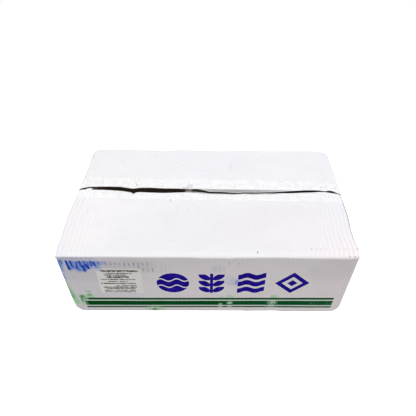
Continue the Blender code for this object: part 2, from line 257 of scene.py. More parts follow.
# Specks on the top, in mm: x, y, radius, strength
SPECKS = (
    (68.3, -111.2, 0.8, 0.95), (-58.8, -10.0, 0.9, 0.90), (-200.8, 97.6, 0.9, 0.60),
    (-157.8, 37.6, 0.7, 0.55), (-31.5, -29.0, 0.8, 0.22), (-44.0, -21.0, 0.6, 0.20),
    (-12.0, 30.0, 0.7, 0.20), (132.0, 77.0, 0.7, 0.25), (-48.0, -92.0, 0.7, 0.20),
    (-8.3, 62.2, 0.8, 0.30), (-44.3, 74.6, 0.8, 0.30), (80.6, 93.7, 0.8, 0.28),
    (-168.0, -30.0, 0.7, 0.16), (101.0, 52.0, 0.7, 0.18), (142.2, -105.0, 0.7, 0.60),
    (149.2, -105.0, 0.7, 0.38), (155.4, -105.0, 0.7, 0.45), (162.0, -105.0, 0.7, 0.42),
    (168.0, -105.0, 0.6, 0.22), (180.9, -104.9, 0.7, 0.40), (187.2, -104.9, 0.7, 0.45),
    (193.0, -104.8, 0.6, 0.20), (201.8, -104.6, 0.7, 0.40), (204.2, -104.6, 0.9, 0.55),
    (191.8, -117.6, 0.8, 0.55), (198.6, -118.0, 0.8, 0.75), (203.2, -117.0, 0.7, 0.40),
)
# Faint scratches on the top, and a painted shadow line, in mm: x and y of both ends, thickness, strength
# (below zero for pale ones)
SCRATCHES = (
    (-150.5, 87.0, -147.5, 82.0, 1.3, 0.16), (-147.5, 82.0, -144.6, 76.5, 1.2, 0.22),
    (33.4, 79.5, 34.6, 72.0, 1.6, 0.14), (34.6, 72.0, 35.4, 63.0, 1.4, 0.10),
    (111.0, -56.0, 121.5, -106.0, 1.8, -0.16), (180.5, 84.0, 187.0, 38.0, 1.3, 0.08),
    (-190.5, -5.0, -192.0, -22.0, 1.3, 0.10), (-196.0, 1.0, -198.5, -30.0, 1.0, 0.08),
    (-48.0, -25.0, -47.2, -30.5, 1.0, 0.20), (-179.8, -29.0, -179.3, -40.0, 1.0, 0.20),
    # The last three rows are painted shadow in the gap between the right flap's end and the end wall's lip
    (203.0, 3.0, 203.3, -10.0, 1.5, 0.60), (203.3, -10.0, 203.4, -64.0, 1.4, 0.38),
    (203.4, -64.0, 203.4, -98.0, 1.2, 0.22),
)
# Crumples with painted highlights and dark gaps of painted shade in the upper film, in mm: x and y of both
# ends, thickness, grey, strength
CRUMPLES = (
    (-191.0, 13.6, -186.0, 14.6, 3.0, 0.94, 0.95), (-201.0, 9.8, -197.0, 10.6, 2.0, 0.94, 0.60),
    (-203.2, 12.2, -199.2, 13.6, 3.0, 0.05, 0.90), (-198.4, 13.9, -194.2, 14.9, 3.2, 0.02, 1.00),
    (-193.4, 15.8, -188.5, 17.0, 2.4, 0.05, 0.85), (-188.5, 17.3, -177.0, 17.8, 2.8, 0.02, 1.00),
    (-183.5, 13.5, -176.5, 14.1, 2.2, 0.04, 0.90), (-118.7, 29.5, -115.4, 23.6, 1.2, 0.36, 0.38),
    (-117.6, 0.6, -119.6, 1.4, 1.3, 0.30, 0.30), (177.5, 14.8, 184.0, 14.0, 2.4, 0.95, 0.60),
    (168.0, 7.4, 172.0, 8.4, 2.2, 0.96, 0.50), (185.2, 11.3, 189.5, 11.1, 4.0, 0.02, 1.00),
    (189.5, 11.0, 194.0, 9.4, 4.2, 0.02, 1.00), (194.0, 9.3, 196.8, 7.6, 3.4, 0.03, 1.00),
    (196.8, 7.5, 199.0, 6.2, 1.9, 0.05, 0.90), (199.0, 6.0, 202.8, 4.2, 1.6, 0.10, 0.75),
    (175.4, 22.0, 176.6, 21.0, 1.8, 0.42, 0.26),
)
# Rows of plain bars on the label, in mm from its lower left corner: height, start, stop, thickness, strength
LABEL_BARS = (
    (53.6, 7.0, 59.5, 4.2, 0.95), (48.0, 10.4, 50.0, 2.6, 0.90), (44.2, 11.0, 41.0, 2.8, 0.90),
    (39.4, 13.4, 44.5, 4.2, 1.00), (33.7, 3.9, 53.0, 2.3, 0.98), (28.9, 14.0, 42.0, 2.3, 0.95),
    (24.2, 2.9, 53.0, 2.6, 1.00), (18.4, 24.0, 53.5, 2.4, 0.90), (14.7, 5.0, 53.4, 2.6, 0.98),
    (11.2, 9.0, 51.0, 2.3, 0.92), (6.6, 5.0, 51.0, 2.5, 0.92), (2.9, 6.0, 50.5, 2.3, 0.90),
)
# Colour of the plain front wall: x in mm, red, green, blue
WALL_TONES = (
    (-200.0, 0.755, 0.745, 0.785), (-150.0, 0.765, 0.745, 0.780), (-80.0, 0.810, 0.780, 0.795),
    (0.0, 0.834, 0.793, 0.805), (150.0, 0.840, 0.800, 0.808), (200.0, 0.850, 0.795, 0.803),
)
# How far the stripes rise along the wall, in mm: x, height
STRIPE_LIFT = (
    (-187.0, -0.2), (-162.0, 0.0), (-124.0, 0.25), (-87.0, 0.4), (-49.0, 0.6), (-12.0, 1.0),
    (55.0, 1.15), (100.0, 1.05), (153.0, 0.8), (190.0, 0.6),
)
# The crease beside each upright corner of the front wall, with a painted highlight and shade line, in mm:
# height, x
LEFT_RIDGE = (
    (20.0, -188.8), (36.0, -189.3), (61.5, -190.3), (94.6, -192.5), (125.0, -194.2), (134.0, -194.8),
)
RIGHT_RIDGE = ((20.0, 202.0), (37.6, 201.2), (94.7, 199.2), (125.0, 199.8), (134.0, 200.4))
# Outer band of the left corner that is scuffed, in mm: height, x
BLUE_EDGE = ((60.0, -205.0), (72.0, -203.0), (85.0, -201.0), (105.0, -199.0), (131.0, -197.0))
GREEN_EDGE = ((12.0, -199.0), (22.0, -194.0), (41.0, -195.5), (71.0, -200.5), (90.0, -204.5))
# Broad tones of the top, partly painted shade of its waviness: middle and reach in mm, colour, strength
TOP_TONES = (
    ((-150.0, 80.0), (70.0, 70.0), (0.775, 0.78, 0.785), 0.8),
    ((-70.0, -70.0), (80.0, 40.0), (0.77, 0.772, 0.785), 0.8),
    ((-168.0, -48.0), (42.0, 62.0), (0.83, 0.80, 0.82), 0.7),
    ((-180.0, -88.0), (15.0, 20.0), (0.845, 0.82, 0.81), 0.4),
    ((90.0, -62.0), (95.0, 44.0), (0.775, 0.755, 0.78), 0.75),
    ((150.0, -80.0), (60.0, 44.0), (0.83, 0.80, 0.83), 0.6),
    ((60.0, 10.0), (130.0, 22.0), (0.81, 0.79, 0.825), 0.4),
    ((0.0, 90.0), (90.0, 40.0), (0.76, 0.75, 0.79), 0.5),
)
# Share of each noise in the board's tone
TONE_NOISES = (("broad", 0.05), ("wisp", 0.05), ("mid", 0.03), ("fine", 0.06), ("grain", 0.07))

# The lights: name, setting that holds the power, width, place and aim in m
LIGHTS = (
    ("key", "key_power", 1.3, (0.03, 0.1, 1.9), (0.0, 0.0, 0.0)),
    ("front", "fill_power", 1.0, (0.1, -1.7, 0.6), (0.0, -0.12, 0.07)),
    ("left", "side_power", 0.9, (-1.3, -0.2, 0.5), (0.0, 0.0, 0.1)),
    ("right", "side_power", 0.9, (1.3, -0.2, 0.5), (0.0, 0.0, 0.1)),
)
# The floor's half width, its drop below the carton and where it darkens, in m
FLOOR_REACH = 8.0
FLOOR_DROP = 0.0003
FLOOR_FADE = (0.45, 0.85)
FLOOR_NEAR_COLOUR = (0.86, 0.84, 0.85)
FLOOR_FAR_COLOUR = (0.16, 0.16, 0.16)
# The camera's place in m, and how it is turned, in degrees
CAMERA_PLACE = (-0.00325, -0.46724, 0.57031)
CAMERA_TURN = (45.348, -0.193, 0.0135)
CAMERA_SENSOR = 36.0
WHITE = (1.0, 1.0, 1.0, 1.0)


def length_setting(name, description, default, low, high):
    return FloatProperty(
        name=name, description=description, default=default, min=low, max=high, unit="LENGTH"
    )


def colour_setting(name, description, default):
    return FloatVectorProperty(
        name=name, description=description, default=default, size=3, min=0, max=1, subtype="COLOR"
    )


def share_setting(name, description, default):
    return FloatProperty(name=name, description=description, default=default, min=0, max=1, subtype="FACTOR")


def power_setting(name, description, default):
    return FloatProperty(name=name, description=description, default=default, min=0, max=500, unit="POWER")


class BoardSettings(bpy.types.PropertyGroup):
    """The carton and its board."""

    width: length_setting("Width", "Length of the long side", 0.410, 0.3, 0.6)
    depth: length_setting("Depth", "Length of the short side", 0.240, 0.18, 0.4)
    height: length_setting("Height", "Height of the carton", 0.134, 0.1, 0.3)
    thickness: length_setting("Thickness", "Thickness of the board", 0.003, 0.002, 0.005)
    flute_pitch: length_setting("Flute pitch", "Distance from one flute to the next", 0.00625, 0.003, 0.01)
    flute_relief: length_setting(
        "Flute relief", "How far the flutes show through the liner", 0.00003, 0.0, 0.0004
    )
    liner_colour: colour_setting("Liner", "Colour of the outer liner", (0.785, 0.78, 0.815))
    cut_colour: colour_setting("Cut edge", "Colour of the cut edges", (0.30, 0.19, 0.11))
    inside_shade_colour: colour_setting("Inside", "Colour of the dark inside the slit", (0.006, 0.004, 0.003))
    roughness: share_setting("Roughness", "Roughness of the liner", 0.72)


class PrintSettings(bpy.types.PropertyGroup):
    """The ink on the two long walls and the dirt on it."""

    motif_colour: colour_setting("Motifs", "Colour of the four motifs", (0.013, 0.003, 0.27))
    stripe_colour: colour_setting("Stripes", "Colour of the three stripes", (0.001, 0.072, 0.012))
    scuff_blue: colour_setting("Blue scuffs", "Colour of the blue scuffs", (0.003, 0.055, 0.53))
    scuff_haze: colour_setting("Pale blue scuffs", "Colour of the faint blue scuffs", (0.11, 0.275, 0.78))
    scuff_green: colour_setting("Green scuffs", "Colour of the green scuffs", (0.08, 0.30, 0.11))
    scuff_pale: colour_setting("Pale green scuffs", "Colour of the faint green scuffs", (0.40, 0.74, 0.38))
    dirt_colour: colour_setting("Dirt", "Colour of the grey rubbing marks", (0.10, 0.10, 0.12))


class TapeSettings(bpy.types.PropertyGroup):
    """The clear tape over the slit and under the base."""

    width: length_setting("Width", "Width of the tape", 0.048, 0.03, 0.08)
    top_leg: length_setting("Top leg", "How far the upper tape runs down the ends", 0.056, 0.02, 0.1)
    base_leg: length_setting("Base leg", "How far the lower tape runs up the ends", 0.050, 0.02, 0.1)
    middle: length_setting("Middle", "Place of the upper tape's middle line", 0.0143, -0.03, 0.03)
    slope: FloatProperty(
        name="Slope", description="How much the upper tape slants", default=-0.0200, min=-0.1, max=0.1
    )
    colour: colour_setting("Film", "Colour of the film", (0.92, 0.92, 0.905))
    bubble_colour: colour_setting("Bubbles", "Colour of the trapped bubbles", (0.70, 0.70, 0.69))
    cover: share_setting("Cover", "How much the film hides what is under it", 0.16)
    roughness: share_setting("Roughness", "Roughness of the film", 0.22)


class LabelSettings(bpy.types.PropertyGroup):
    """The paper label on the front wall."""

    width: length_setting("Width", "Width of the label", 0.063, 0.02, 0.1)
    height: length_setting("Height", "Height of the label", 0.0593, 0.02, 0.1)
    left: length_setting("Left", "Place of its left edge", -0.1559, -0.2, 0.2)
    bottom: length_setting("Bottom", "Place of its lower edge", 0.0502, 0.0, 0.1)
    paper_colour: colour_setting("Paper", "Colour of the paper", (0.90, 0.875, 0.85))
    stain_colour: colour_setting("Stains", "Colour of the paper where it is dirty", (0.80, 0.78, 0.76))
    bar_colour: colour_setting("Bars", "Colour of the bars", (0.05, 0.05, 0.05))


class StageSettings(bpy.types.PropertyGroup):
    """The floor, the lights and the camera."""

    key_power: power_setting("Key", "Power of the light overhead", 29.0)
    side_power: power_setting("Sides", "Power of each light beside the carton", 1.5)
    fill_power: power_setting("Front", "Power of the light in front of the carton", 2.4)
    sky: FloatProperty(
        name="Sky", description="Strength of the light from all round", default=0.28, min=0, max=5
    )
    floor_glow: FloatProperty(
        name="Floor glow", description="Light that the floor gives off", default=0.9, min=0, max=5
    )
    lens: FloatProperty(
        name="Lens",
        description="Focal length for a 36 mm sensor",
        default=35.623,
        min=10,
        max=200,
        unit="CAMERA",
    )


# ---------------------------------------------------------------- form


def smooth(value):
    """From 0 to 1 without a kink at either end, where value runs from 0 to 1."""
    value = np.clip(value, 0.0, 1.0)
    return value * value * (3.0 - 2.0 * value)


def hill(value, middle, reach):
    """1 at middle, falling away to both sides."""
    return np.exp(-(((value - middle) / reach) ** 2))


def across(table, column, x):
    """A column of a table at x, read off the straight lines between its rows."""
    return np.interp(x, [row[0] for row in table], [row[column] for row in table])


class Form:
    """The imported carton's shape. Lengths are in mm, apart from what settle() gives back, in m."""

    def __init__(self, board):
        self.width = board.width / MM
        self.depth = board.depth / MM
        self.height = board.height / MM
        self.thick = board.thickness / MM
        self.pitch = board.flute_pitch / MM
        self.relief_depth = board.flute_relief / MM
        self.half_width = self.width / 2
        self.half_depth = self.depth / 2

    def slit(self, x):
        """Both edges of the slit at x. They meet at the carton's ends."""
        near, far = across(SLIT, 1, x), across(SLIT, 2, x)
        shut = smooth((np.abs(x) - self.half_width + SLIT_SHUTS_FROM) / SLIT_SHUTS_OVER)
        middle = (near + far) / 2
        return near + (middle - near) * shut, far + (middle - far) * shut

    def rise(self, x, y):
        """How far the two top flaps stand up, which is furthest where they meet."""
        near, far = self.slit(x)
        middle = (near + far) / 2
        front = (y + self.half_depth) / (middle + self.half_depth)
        back = (self.half_depth - y) / (self.half_depth - middle)
        reach = np.clip(np.where(y < middle, front, back), 0.0, 1.0)
        return FLAP_RISE * np.sin(np.pi / 2 * reach)

    def settle(self, points):
        """Where points of the square carton, an array of shape (..., 3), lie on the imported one."""
        points = np.asarray(points, float)
        x, y, z = np.moveaxis(points, -1, 0)
        height = np.clip(z / self.height, 0.0, 1.0)
        over = np.minimum(1.0, np.abs(x) / self.half_width)
        along = np.minimum(1.0, np.abs(y) / self.half_depth)
        lift = smooth(2.0 * height - 1.0)
        belly = np.sin(np.pi * height)
        moved = points.copy()
        for side_x, side_y, upper, depth, reach in BLUNTED:
            corner = np.array([side_x * self.half_width, side_y * self.half_depth, upper * self.height])
            near = np.clip(1.0 - np.linalg.norm(points - corner, axis=-1) / reach, 0.0, 1.0)
            inward = np.array([-side_x, -side_y, 1 - 2 * upper])
            moved += inward * (depth * near * near)[..., None]
        hump = hill(y, END_HUMP_MIDDLE, END_HUMP_REACH)
        push = (END_BULGE * (1.0 - along * along) + END_HUMP * hump) * np.maximum(belly, lift)
        push = push + np.where(x > 0, across(END_PUSH, 2, y), across(END_PUSH, 1, y))
        moved[..., 0] += push * np.sign(x) * over**4
        left, front = smooth((-x - 150.0) / 55.0), smooth(-y / 40.0 - 1.5)
        moved[..., 0] += FOOT_INWARD * np.exp(-z / FOOT_INWARD_REACH) * left * front
        moved[..., 1] += np.copysign(WALL_BULGE, y) * along**4 * (1.0 - over * over) * belly
        moved[..., 2] += lift * self.rise(x, y)
        moved[..., 2] -= TWIST * height * (x / self.half_width) * (y + self.half_depth) / self.depth
        to_fold = np.hypot(y + self.half_depth, z - self.height)
        moved[..., 2] -= across(FOLD_SAG, 1, x) * np.exp(-to_fold / FOLD_SAG_REACH)
        to_fold = np.hypot(y - self.half_depth, z - self.height)
        moved[..., 2] += across(BACK_RISE, 1, x) * np.exp(-to_fold / BACK_RISE_REACH)
        out = across(FOOT_PUSH, 1, x) * np.exp(-z / FOOT_PUSH_REACH)
        moved[..., 1] -= out * smooth(-y / 20.0 - 4.5)
        moved[..., 0] += RACK * y / self.depth
        return moved * MM

    def flutes(self, along):
        """The wave of the flutes, between -1 and 1."""
        return np.cos(2 * np.pi * along / self.pitch)

    def relief(self, panel, a, b):
        """How far the liner stands out, a being counted across the flutes and b along them."""
        if panel == "top":
            return self.top_relief(a, b)
        if panel == "base":
            return self.relief_depth * self.flutes(a) * 0.8
        swell = 0.22 * np.sin(a / 23.0 + 0.6) * np.sin(b / 19.0 + 1.1)
        swell += 0.12 * np.sin(a / 11.0 - b / 17.0)
        span = self.half_depth if panel == "end" else self.half_width
        inner = smooth((span - 8.0 - np.abs(a)) / 10.0)
        upper = smooth((self.height - 4.0 - b) / 6.0) * smooth((b - 4.0) / 6.0)
        rubbed = 1.0 + 1.5 * hill(a, -165.0, 45.0) * hill(b, 115.0, 16.0)
        line = self.relief_depth * rubbed * self.flutes(a)
        return (line + 0.6 * swell * smooth(b / 40.0)) * inner * upper

    def top_relief(self, x, y):
        """Flutes, swells, the sunk front fold, two dents and the rubbed ticks of the crushed corner."""
        near_ends = smooth((np.abs(x) - 120.0) / 70.0)
        worn = hill(x, 185.0, 30.0) * hill(y, -95.0, 38.0)
        strength = self.relief_depth * (0.7 + 1.6 * near_ends + 3.0 * worn)
        inner = smooth((self.half_width - 0.5 - np.abs(x)) / 2.0)
        inner *= smooth((self.half_depth - 3.0 - np.abs(y)) / 3.0)
        swell = 0.16 * np.sin(x / 21.0 + y / 34.0) + 0.14 * np.sin(x / 37.0 - y / 16.0 + 1.0)
        swell += 0.08 * np.sin(x / 9.0 + 2.0) * np.sin(y / 13.0)
        from_fold = y + self.half_depth
        sunk = -0.75 * np.exp(-from_fold / 4.5) - 0.22 * hill(from_fold, 9.5, 1.6)
        dents = -0.5 * hill(x, 34.0, 4.0) * hill(y, 71.0, 9.0)
        dents -= 0.35 * hill(x, -149.0, 3.0) * hill(y, 86.0, 6.0)
        ticks = hill(np.mod(x - TICK_SHIFT, self.pitch), self.pitch / 2, 0.8)
        rows = hill(y, -105.0, 1.6) * smooth((x - 138.0) / 6.0)
        rows += hill(y, -114.6, 1.4) * smooth((x - 126.0) / 8.0)
        return strength * self.flutes(x) * inner + inner * (swell + sunk + dents - 0.18 * ticks * rows)


# ---------------------------------------------------------------- meshes


class Skin:
    """The vertices and faces of one mesh while it grows."""

    def __init__(self):
        self.places, self.flats, self.count = [], [], 0
        self.faces, self.finishes = [], []

    def add(self, places, flats):
        """Takes in an array of points, with their places on the square carton, and numbers them."""
        shape = places.shape[:-1]
        self.places.append(places.reshape(-1, 3))
        self.flats.append(flats.reshape(-1, 3))
        numbers = np.arange(self.count, self.count + int(np.prod(shape))).reshape(shape)
        self.count += numbers.size
        return numbers

    def face(self, corners, finish):
        """One face. Corners that repeat are left out, and so is a face with fewer than three."""
        kept = [c for i, c in enumerate(corners) if c != corners[i - 1]]
        if len(set(kept)) == len(kept) and len(kept) > 2:
            self.faces.append(kept)
            self.finishes.append(finish)

    def cover(self, grid, finish=LINER_SIDE):
        """Faces between the rows of a grid of vertex numbers. finish may differ from row to row."""
        for row in range(grid.shape[0] - 1):
            kind = finish[row] if isinstance(finish, (list, tuple)) else finish
            low, high = grid[row].tolist(), grid[row + 1].tolist()
            for i in range(len(low) - 1):
                self.face((low[i], low[i + 1], high[i + 1], high[i]), kind)

    def zip(self, first, second):
        """A strip of triangles between two lines of vertices that start and end together."""
        points = np.concatenate(self.places)
        i = j = 0
        while i < len(first) - 1 or j < len(second) - 1:
            step_i = step_j = math.inf
            if i < len(first) - 1:
                step_i = np.linalg.norm(points[first[i + 1]] - points[second[j]])
            if j < len(second) - 1:
                step_j = np.linalg.norm(points[first[i]] - points[second[j + 1]])
            if step_i <= step_j:
                self.face((first[i], first[i + 1], second[j]), LINER_SIDE)
                i += 1
            else:
                self.face((first[i], second[j + 1], second[j]), LINER_SIDE)
                j += 1

    def mesh(self, name):
        """The mesh, which keeps each point's place on the square carton as its attribute flat."""
        mesh = bpy.data.meshes.new(name)
        mesh.from_pydata(np.concatenate(self.places).tolist(), [], self.faces)
        mesh.polygons.foreach_set("material_index", self.finishes)
        flat = mesh.attributes.new("flat", "FLOAT_VECTOR", "POINT")
        flat.data.foreach_set("vector", np.concatenate(self.flats).ravel())
        return mesh


def close_mesh(mesh, crease=40.0):
    """Turns every face outwards, drops loose points and sets the shading."""
    bm = bmesh.new()
    bm.from_mesh(mesh)
    bmesh.ops.delete(bm, geom=[v for v in bm.verts if not v.link_faces], context="VERTS")
    bmesh.ops.recalc_face_normals(bm, faces=bm.faces)
    bm.to_mesh(mesh)
    bm.free()
    mesh.shade_smooth()
    mesh.set_sharp_from_angle(angle=math.radians(crease))


def place_piece(name, mesh, materials, replaces=None):
    """Shows a mesh as a piece that rides with the carton."""
    piece = bpy.data.objects.new(name, mesh)
    bpy.context.scene.collection.objects.link(piece)
    for material in materials[len(mesh.materials) :]:
        mesh.materials.append(material)
    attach(piece, "root")
    if replaces:
        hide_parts(replaces)
    return piece


def from_edge(steps, length):
    """Distances from an edge, steps near it and then even ones as far as length."""
    rest = length - steps[-1]
    count = max(1, math.ceil(rest / WIDEST_STEP))
    return list(steps) + [steps[-1] + rest * (i + 1) / count for i in range(count)]


class CartonMesh:
    """The board of the carton as one closed mesh."""

    def __init__(self, form):
        self.form = form
        self.skin = Skin()
        inner = math.floor((form.half_width - EVEN_MARGIN) / form.pitch) * form.pitch
        even = np.linspace(-inner, inner, int(round(2 * inner / form.pitch * STEPS_PER_FLUTE)) + 1)
        ends = np.linspace(inner, form.half_width, END_STEPS + 1)[1:]
        self.x = np.concatenate([-ends[::-1], even, ends])
        self.flap_end = {-1: form.half_width - LEFT_FLAP_GAP, 1: form.half_width - RIGHT_FLAP_GAP}
        self.short = np.where(self.x > 0, self.flap_end[1], self.flap_end[-1]) - FLAP_BEVEL
        self.seam = SEAM / 2 * smooth((form.half_width - 0.05 - np.abs(self.x)) / SLIT_SHUTS_OVER)
        self.path_x, self.path_y = self.corner_path()
        self.rows = self.outline()

    def outline(self):
        """Rows of one half, from the base seam round a long wall to the slit.

        Each row holds its panel, how far out and how high it lies, its normal and its share of the
        wall's rounded corner. On the base and the top, the first number is a share of the panel.
        """
        form = self.form
        rows = []
        reach = form.half_depth - BASE_FOLD - SEAM / 2
        for step in from_edge((0.0, 1.0, 4.0, 10.0), reach - 8.0) + [reach - 3.0, reach]:
            rows.append(("base", step / reach, 0.0, (0.0, -1.0), 0.0))
        for angle in np.radians((18, 36, 54, 72)):
            out = form.half_depth - BASE_FOLD + BASE_FOLD * math.sin(angle)
            up = BASE_FOLD - BASE_FOLD * math.cos(angle)
            rows.append(("fold", out, up, (math.sin(angle), -math.cos(angle)), 0.0))
        top = form.height - TOP_FOLD
        low = [BASE_FOLD, 4.2, 5.6, 7.2, 9.0, 12.0, 16.0, 22.0]
        high = [top, top - 1.4, top - 2.8, top - 4.4, top - 6.2, top - 9.0, top - 13.0, top - 19.0]
        between = np.linspace(low[-1], high[-1], 13)[1:-1].tolist()
        for up in low + between + high[::-1]:
            opens = min(up - BASE_FOLD, top - up) / CORNER_OPENS
            rows.append(("wall", form.half_depth, up, (1.0, 0.0), float(smooth(opens))))
        for angle in np.radians((16, 32, 48, 64, 78)):
            out = form.half_depth - TOP_FOLD + TOP_FOLD * math.cos(angle)
            up = top + TOP_FOLD * math.sin(angle)
            rows.append(("fold", out, up, (math.cos(angle), math.sin(angle)), 0.0))
        reach = form.half_depth - TOP_FOLD
        near = [0.0, 1.0, 2.2, 3.5, 5.0, 6.5, 8.0, 9.2, 10.4, 12.0, 14.5, 18.0]
        for step in from_edge(near, reach - 14.0):
            rows.append(("top", step / reach, form.height, (0.0, 1.0), 0.0))
        for step in (9.0, 6.0, 4.0, 2.4, 1.2, 0.5, 0.0):
            rows.append(("top", 1.0 - step / reach, form.height, (0.0, 1.0), 0.0))
        return rows

    def corner_path(self):
        """For every x, the place in x on the rounded corner and how far it lies behind the wall."""
        form = self.form
        drop = WALL_FOLD * (1.0 - math.sin(WALL_RIDGE_TURN))
        straight = (WALL_RIDGE - drop) / math.cos(WALL_RIDGE_TURN)
        along = np.clip(np.abs(self.x) - form.half_width + WALL_RIDGE, 0.0, None)
        centre_x = form.half_width - WALL_FOLD
        start = form.half_width - WALL_RIDGE
        arc = WALL_FOLD * (math.pi / 2 - WALL_RIDGE_TURN)
        length = along / WALL_RIDGE * (straight + arc)
        turn = WALL_RIDGE_TURN + np.clip(length - straight, 0.0, None) / WALL_FOLD
        flat_x = start + length * math.cos(WALL_RIDGE_TURN)
        flat_y = length * math.sin(WALL_RIDGE_TURN)
        rise = straight * math.sin(WALL_RIDGE_TURN) + WALL_FOLD * math.cos(WALL_RIDGE_TURN)
        round_x = centre_x + WALL_FOLD * np.sin(turn)
        round_y = rise - WALL_FOLD * np.cos(turn)
        bent = length > straight
        path_x = np.where(bent, round_x, flat_x)
        path_y = np.where(bent, round_y, flat_y)
        return np.where(along > 0.0, path_x, np.abs(self.x)), np.where(along > 0.0, path_y, 0.0)

    def lip_open(self, y):
        """Where the right end's lip stands clear of the flap over it."""
        return smooth((y + 104.0) / 12.0) * smooth((2.0 - y) / 10.0)

    def half(self, side):
        """The grid of one half of the carton, as vertex numbers."""
        form, x = self.form, self.x
        near, far = form.slit(x)
        edge = far if side > 0 else -near
        places, flats = [], []
        for panel, out, up, (normal_out, normal_up), corner in self.rows:
            if panel == "base":
                away = self.seam + out * (form.half_depth - BASE_FOLD - self.seam)
            elif panel == "top":
                away = form.half_depth - TOP_FOLD + out * (edge - form.half_depth + TOP_FOLD)
            else:
                away = np.full_like(x, out)
            y = side * away
            height = np.full_like(x, up)
            flat = np.stack([x, y, height], axis=-1)
            if panel == "fold":
                raised = np.zeros_like(x)
            elif panel == "wall":
                raised = form.relief(panel, x * -side, height)
            else:
                raised = form.relief(panel, x, y)
            bent_x = np.sign(x) * (np.abs(x) + corner * (self.path_x - np.abs(x)))
            y = y - side * corner * self.path_y
            if corner < 1.0:
                short = self.short
                if up > form.height / 2:
                    short = short - LIP_OPENS * self.lip_open(y) * (x > 0)
                flap_x = np.clip(np.abs(x), 0.0, form.half_width - FLAP_TAKES_UP)
                stretch = (short - form.half_width + FLAP_TAKES_UP) / FLAP_TAKES_UP
                flap_x += (np.abs(x) - flap_x) * stretch
                bent_x = bent_x + (1.0 - corner) * np.sign(x) * (flap_x - np.abs(x))
            place = np.stack([bent_x, y + side * normal_out * raised, height + normal_up * raised], axis=-1)
            places.append(form.settle(place))
            flats.append(flat)
        return self.skin.add(np.array(places), np.array(flats))

    def channel(self, near_row, far_row, near_y, far_y, profile):
        """The space between two flaps.

        profile holds, from the near edge to the far one, side, set back, height and finish.
        """
        form, x = self.form, self.x
        flap_x = np.sign(x) * np.minimum(np.abs(x), self.short)
        places, flats = [], []
        for side, back, up, _ in profile:
            y = near_y - back if side < 0 else far_y + back
            flat = np.stack([flap_x, y, np.full_like(x, up)], axis=-1)
            places.append(form.settle(flat))
            flats.append(flat)
        numbers = self.skin.add(np.array(places), np.array(flats))
        numbers[:, 0], numbers[:, -1] = near_row[0], near_row[-1]
        grid = np.concatenate([near_row[None], numbers, far_row[None]])
        self.skin.cover(grid, [LINER_SIDE] + [row[3] for row in profile])

    def end(self, side, front, back):
        """The end wall with the folds under and over it, joined to both halves of the carton."""
        form = self.form
        half = form.half_depth - float(self.path_y[-1])
        y = np.linspace(-half, half, int(round(2 * half / form.pitch * STEPS_PER_FLUTE)) + 1)
        wide = y / half * (form.half_depth - 0.5)
        walls = [i for i, row in enumerate(self.rows) if row[0] == "wall" and row[4] >= 1.0]
        reach = self.lip_open(y) if side > 0 else np.zeros_like(y)
        under = form.height - form.thick
        lip = under + LIP_LIFT * reach
        fold = END_FOLD - LIP_FOLD_TIGHTENS * reach
        flap = self.flap_end[side] - LIP_OPENS * reach
        edge = form.half_width
        turns = np.radians((0, 22, 45, 68, 90))

        def at(value):
            return np.full_like(y, value)

        rows = [
            (wide, at(self.flap_end[side]), at(FLAP_BEVEL), LINER_SIDE),
            (wide, at(self.flap_end[side]), at(form.thick - 0.1), CUT_SIDE),
            (y, at(edge - END_FOLD - 0.4), at(form.thick + 0.05), SHADE_SIDE),
        ]
        for angle in turns:
            out = edge - END_FOLD + END_FOLD * math.sin(angle)
            up = form.thick + END_FOLD - END_FOLD * math.cos(angle)
            rows.append((y, at(out), at(up), LINER_SIDE))
        first_wall = len(rows)
        for i in walls:
            rows.append((y, at(edge), at(self.rows[i][2]), LINER_SIDE))
        last_wall = len(rows) - 1
        for angle in turns:
            out = edge - fold + fold * math.cos(angle)
            up = lip - fold + fold * math.sin(angle)
            rows.append((y, out, up, LINER_SIDE))
        rows.append((y, flap - 0.2 - 2.2 * (1 - reach), under - 0.4 * reach, SHADE_SIDE))
        rows.append((wide, flap, at(under + 0.1), SHADE_SIDE))
        rows.append((wide, flap, at(form.height - FLAP_BEVEL), CUT_SIDE))
        places, flats = [], []
        for span, out, up, finish in rows:
            raised = form.relief("end", span * side, up) if finish == LINER_SIDE else 0.0
            flats.append(np.stack([side * out, span, up], axis=-1))
            places.append(form.settle(np.stack([side * (out + raised), span, up], axis=-1)))
        grid = self.skin.add(np.array(places), np.array(flats))
        column = -1 if side > 0 else 0
        for row, wall in zip(range(first_wall, last_wall + 1), walls):
            grid[row, 0], grid[row, -1] = front[wall, column], back[wall, column]
        finishes = [row[3] for row in rows[1:]]
        finishes[first_wall - 1] = LINER_SIDE
        self.skin.cover(grid, finishes)
        low, high = walls[0], walls[-1]
        upper = np.concatenate([front[high:, column], back[high:, column][::-1][1:]])
        inner = np.concatenate([grid[last_wall:, 0], grid[-1, 1:-1], grid[last_wall:, -1][::-1]])
        self.skin.zip(upper.tolist(), inner.tolist())
        lower = np.concatenate([front[: low + 1, column][::-1], back[: low + 1, column][1:]])
        inner = np.concatenate([grid[: first_wall + 1, 0][::-1], grid[0, 1:-1], grid[: first_wall + 1, -1]])
        self.skin.zip(lower.tolist(), inner.tolist())

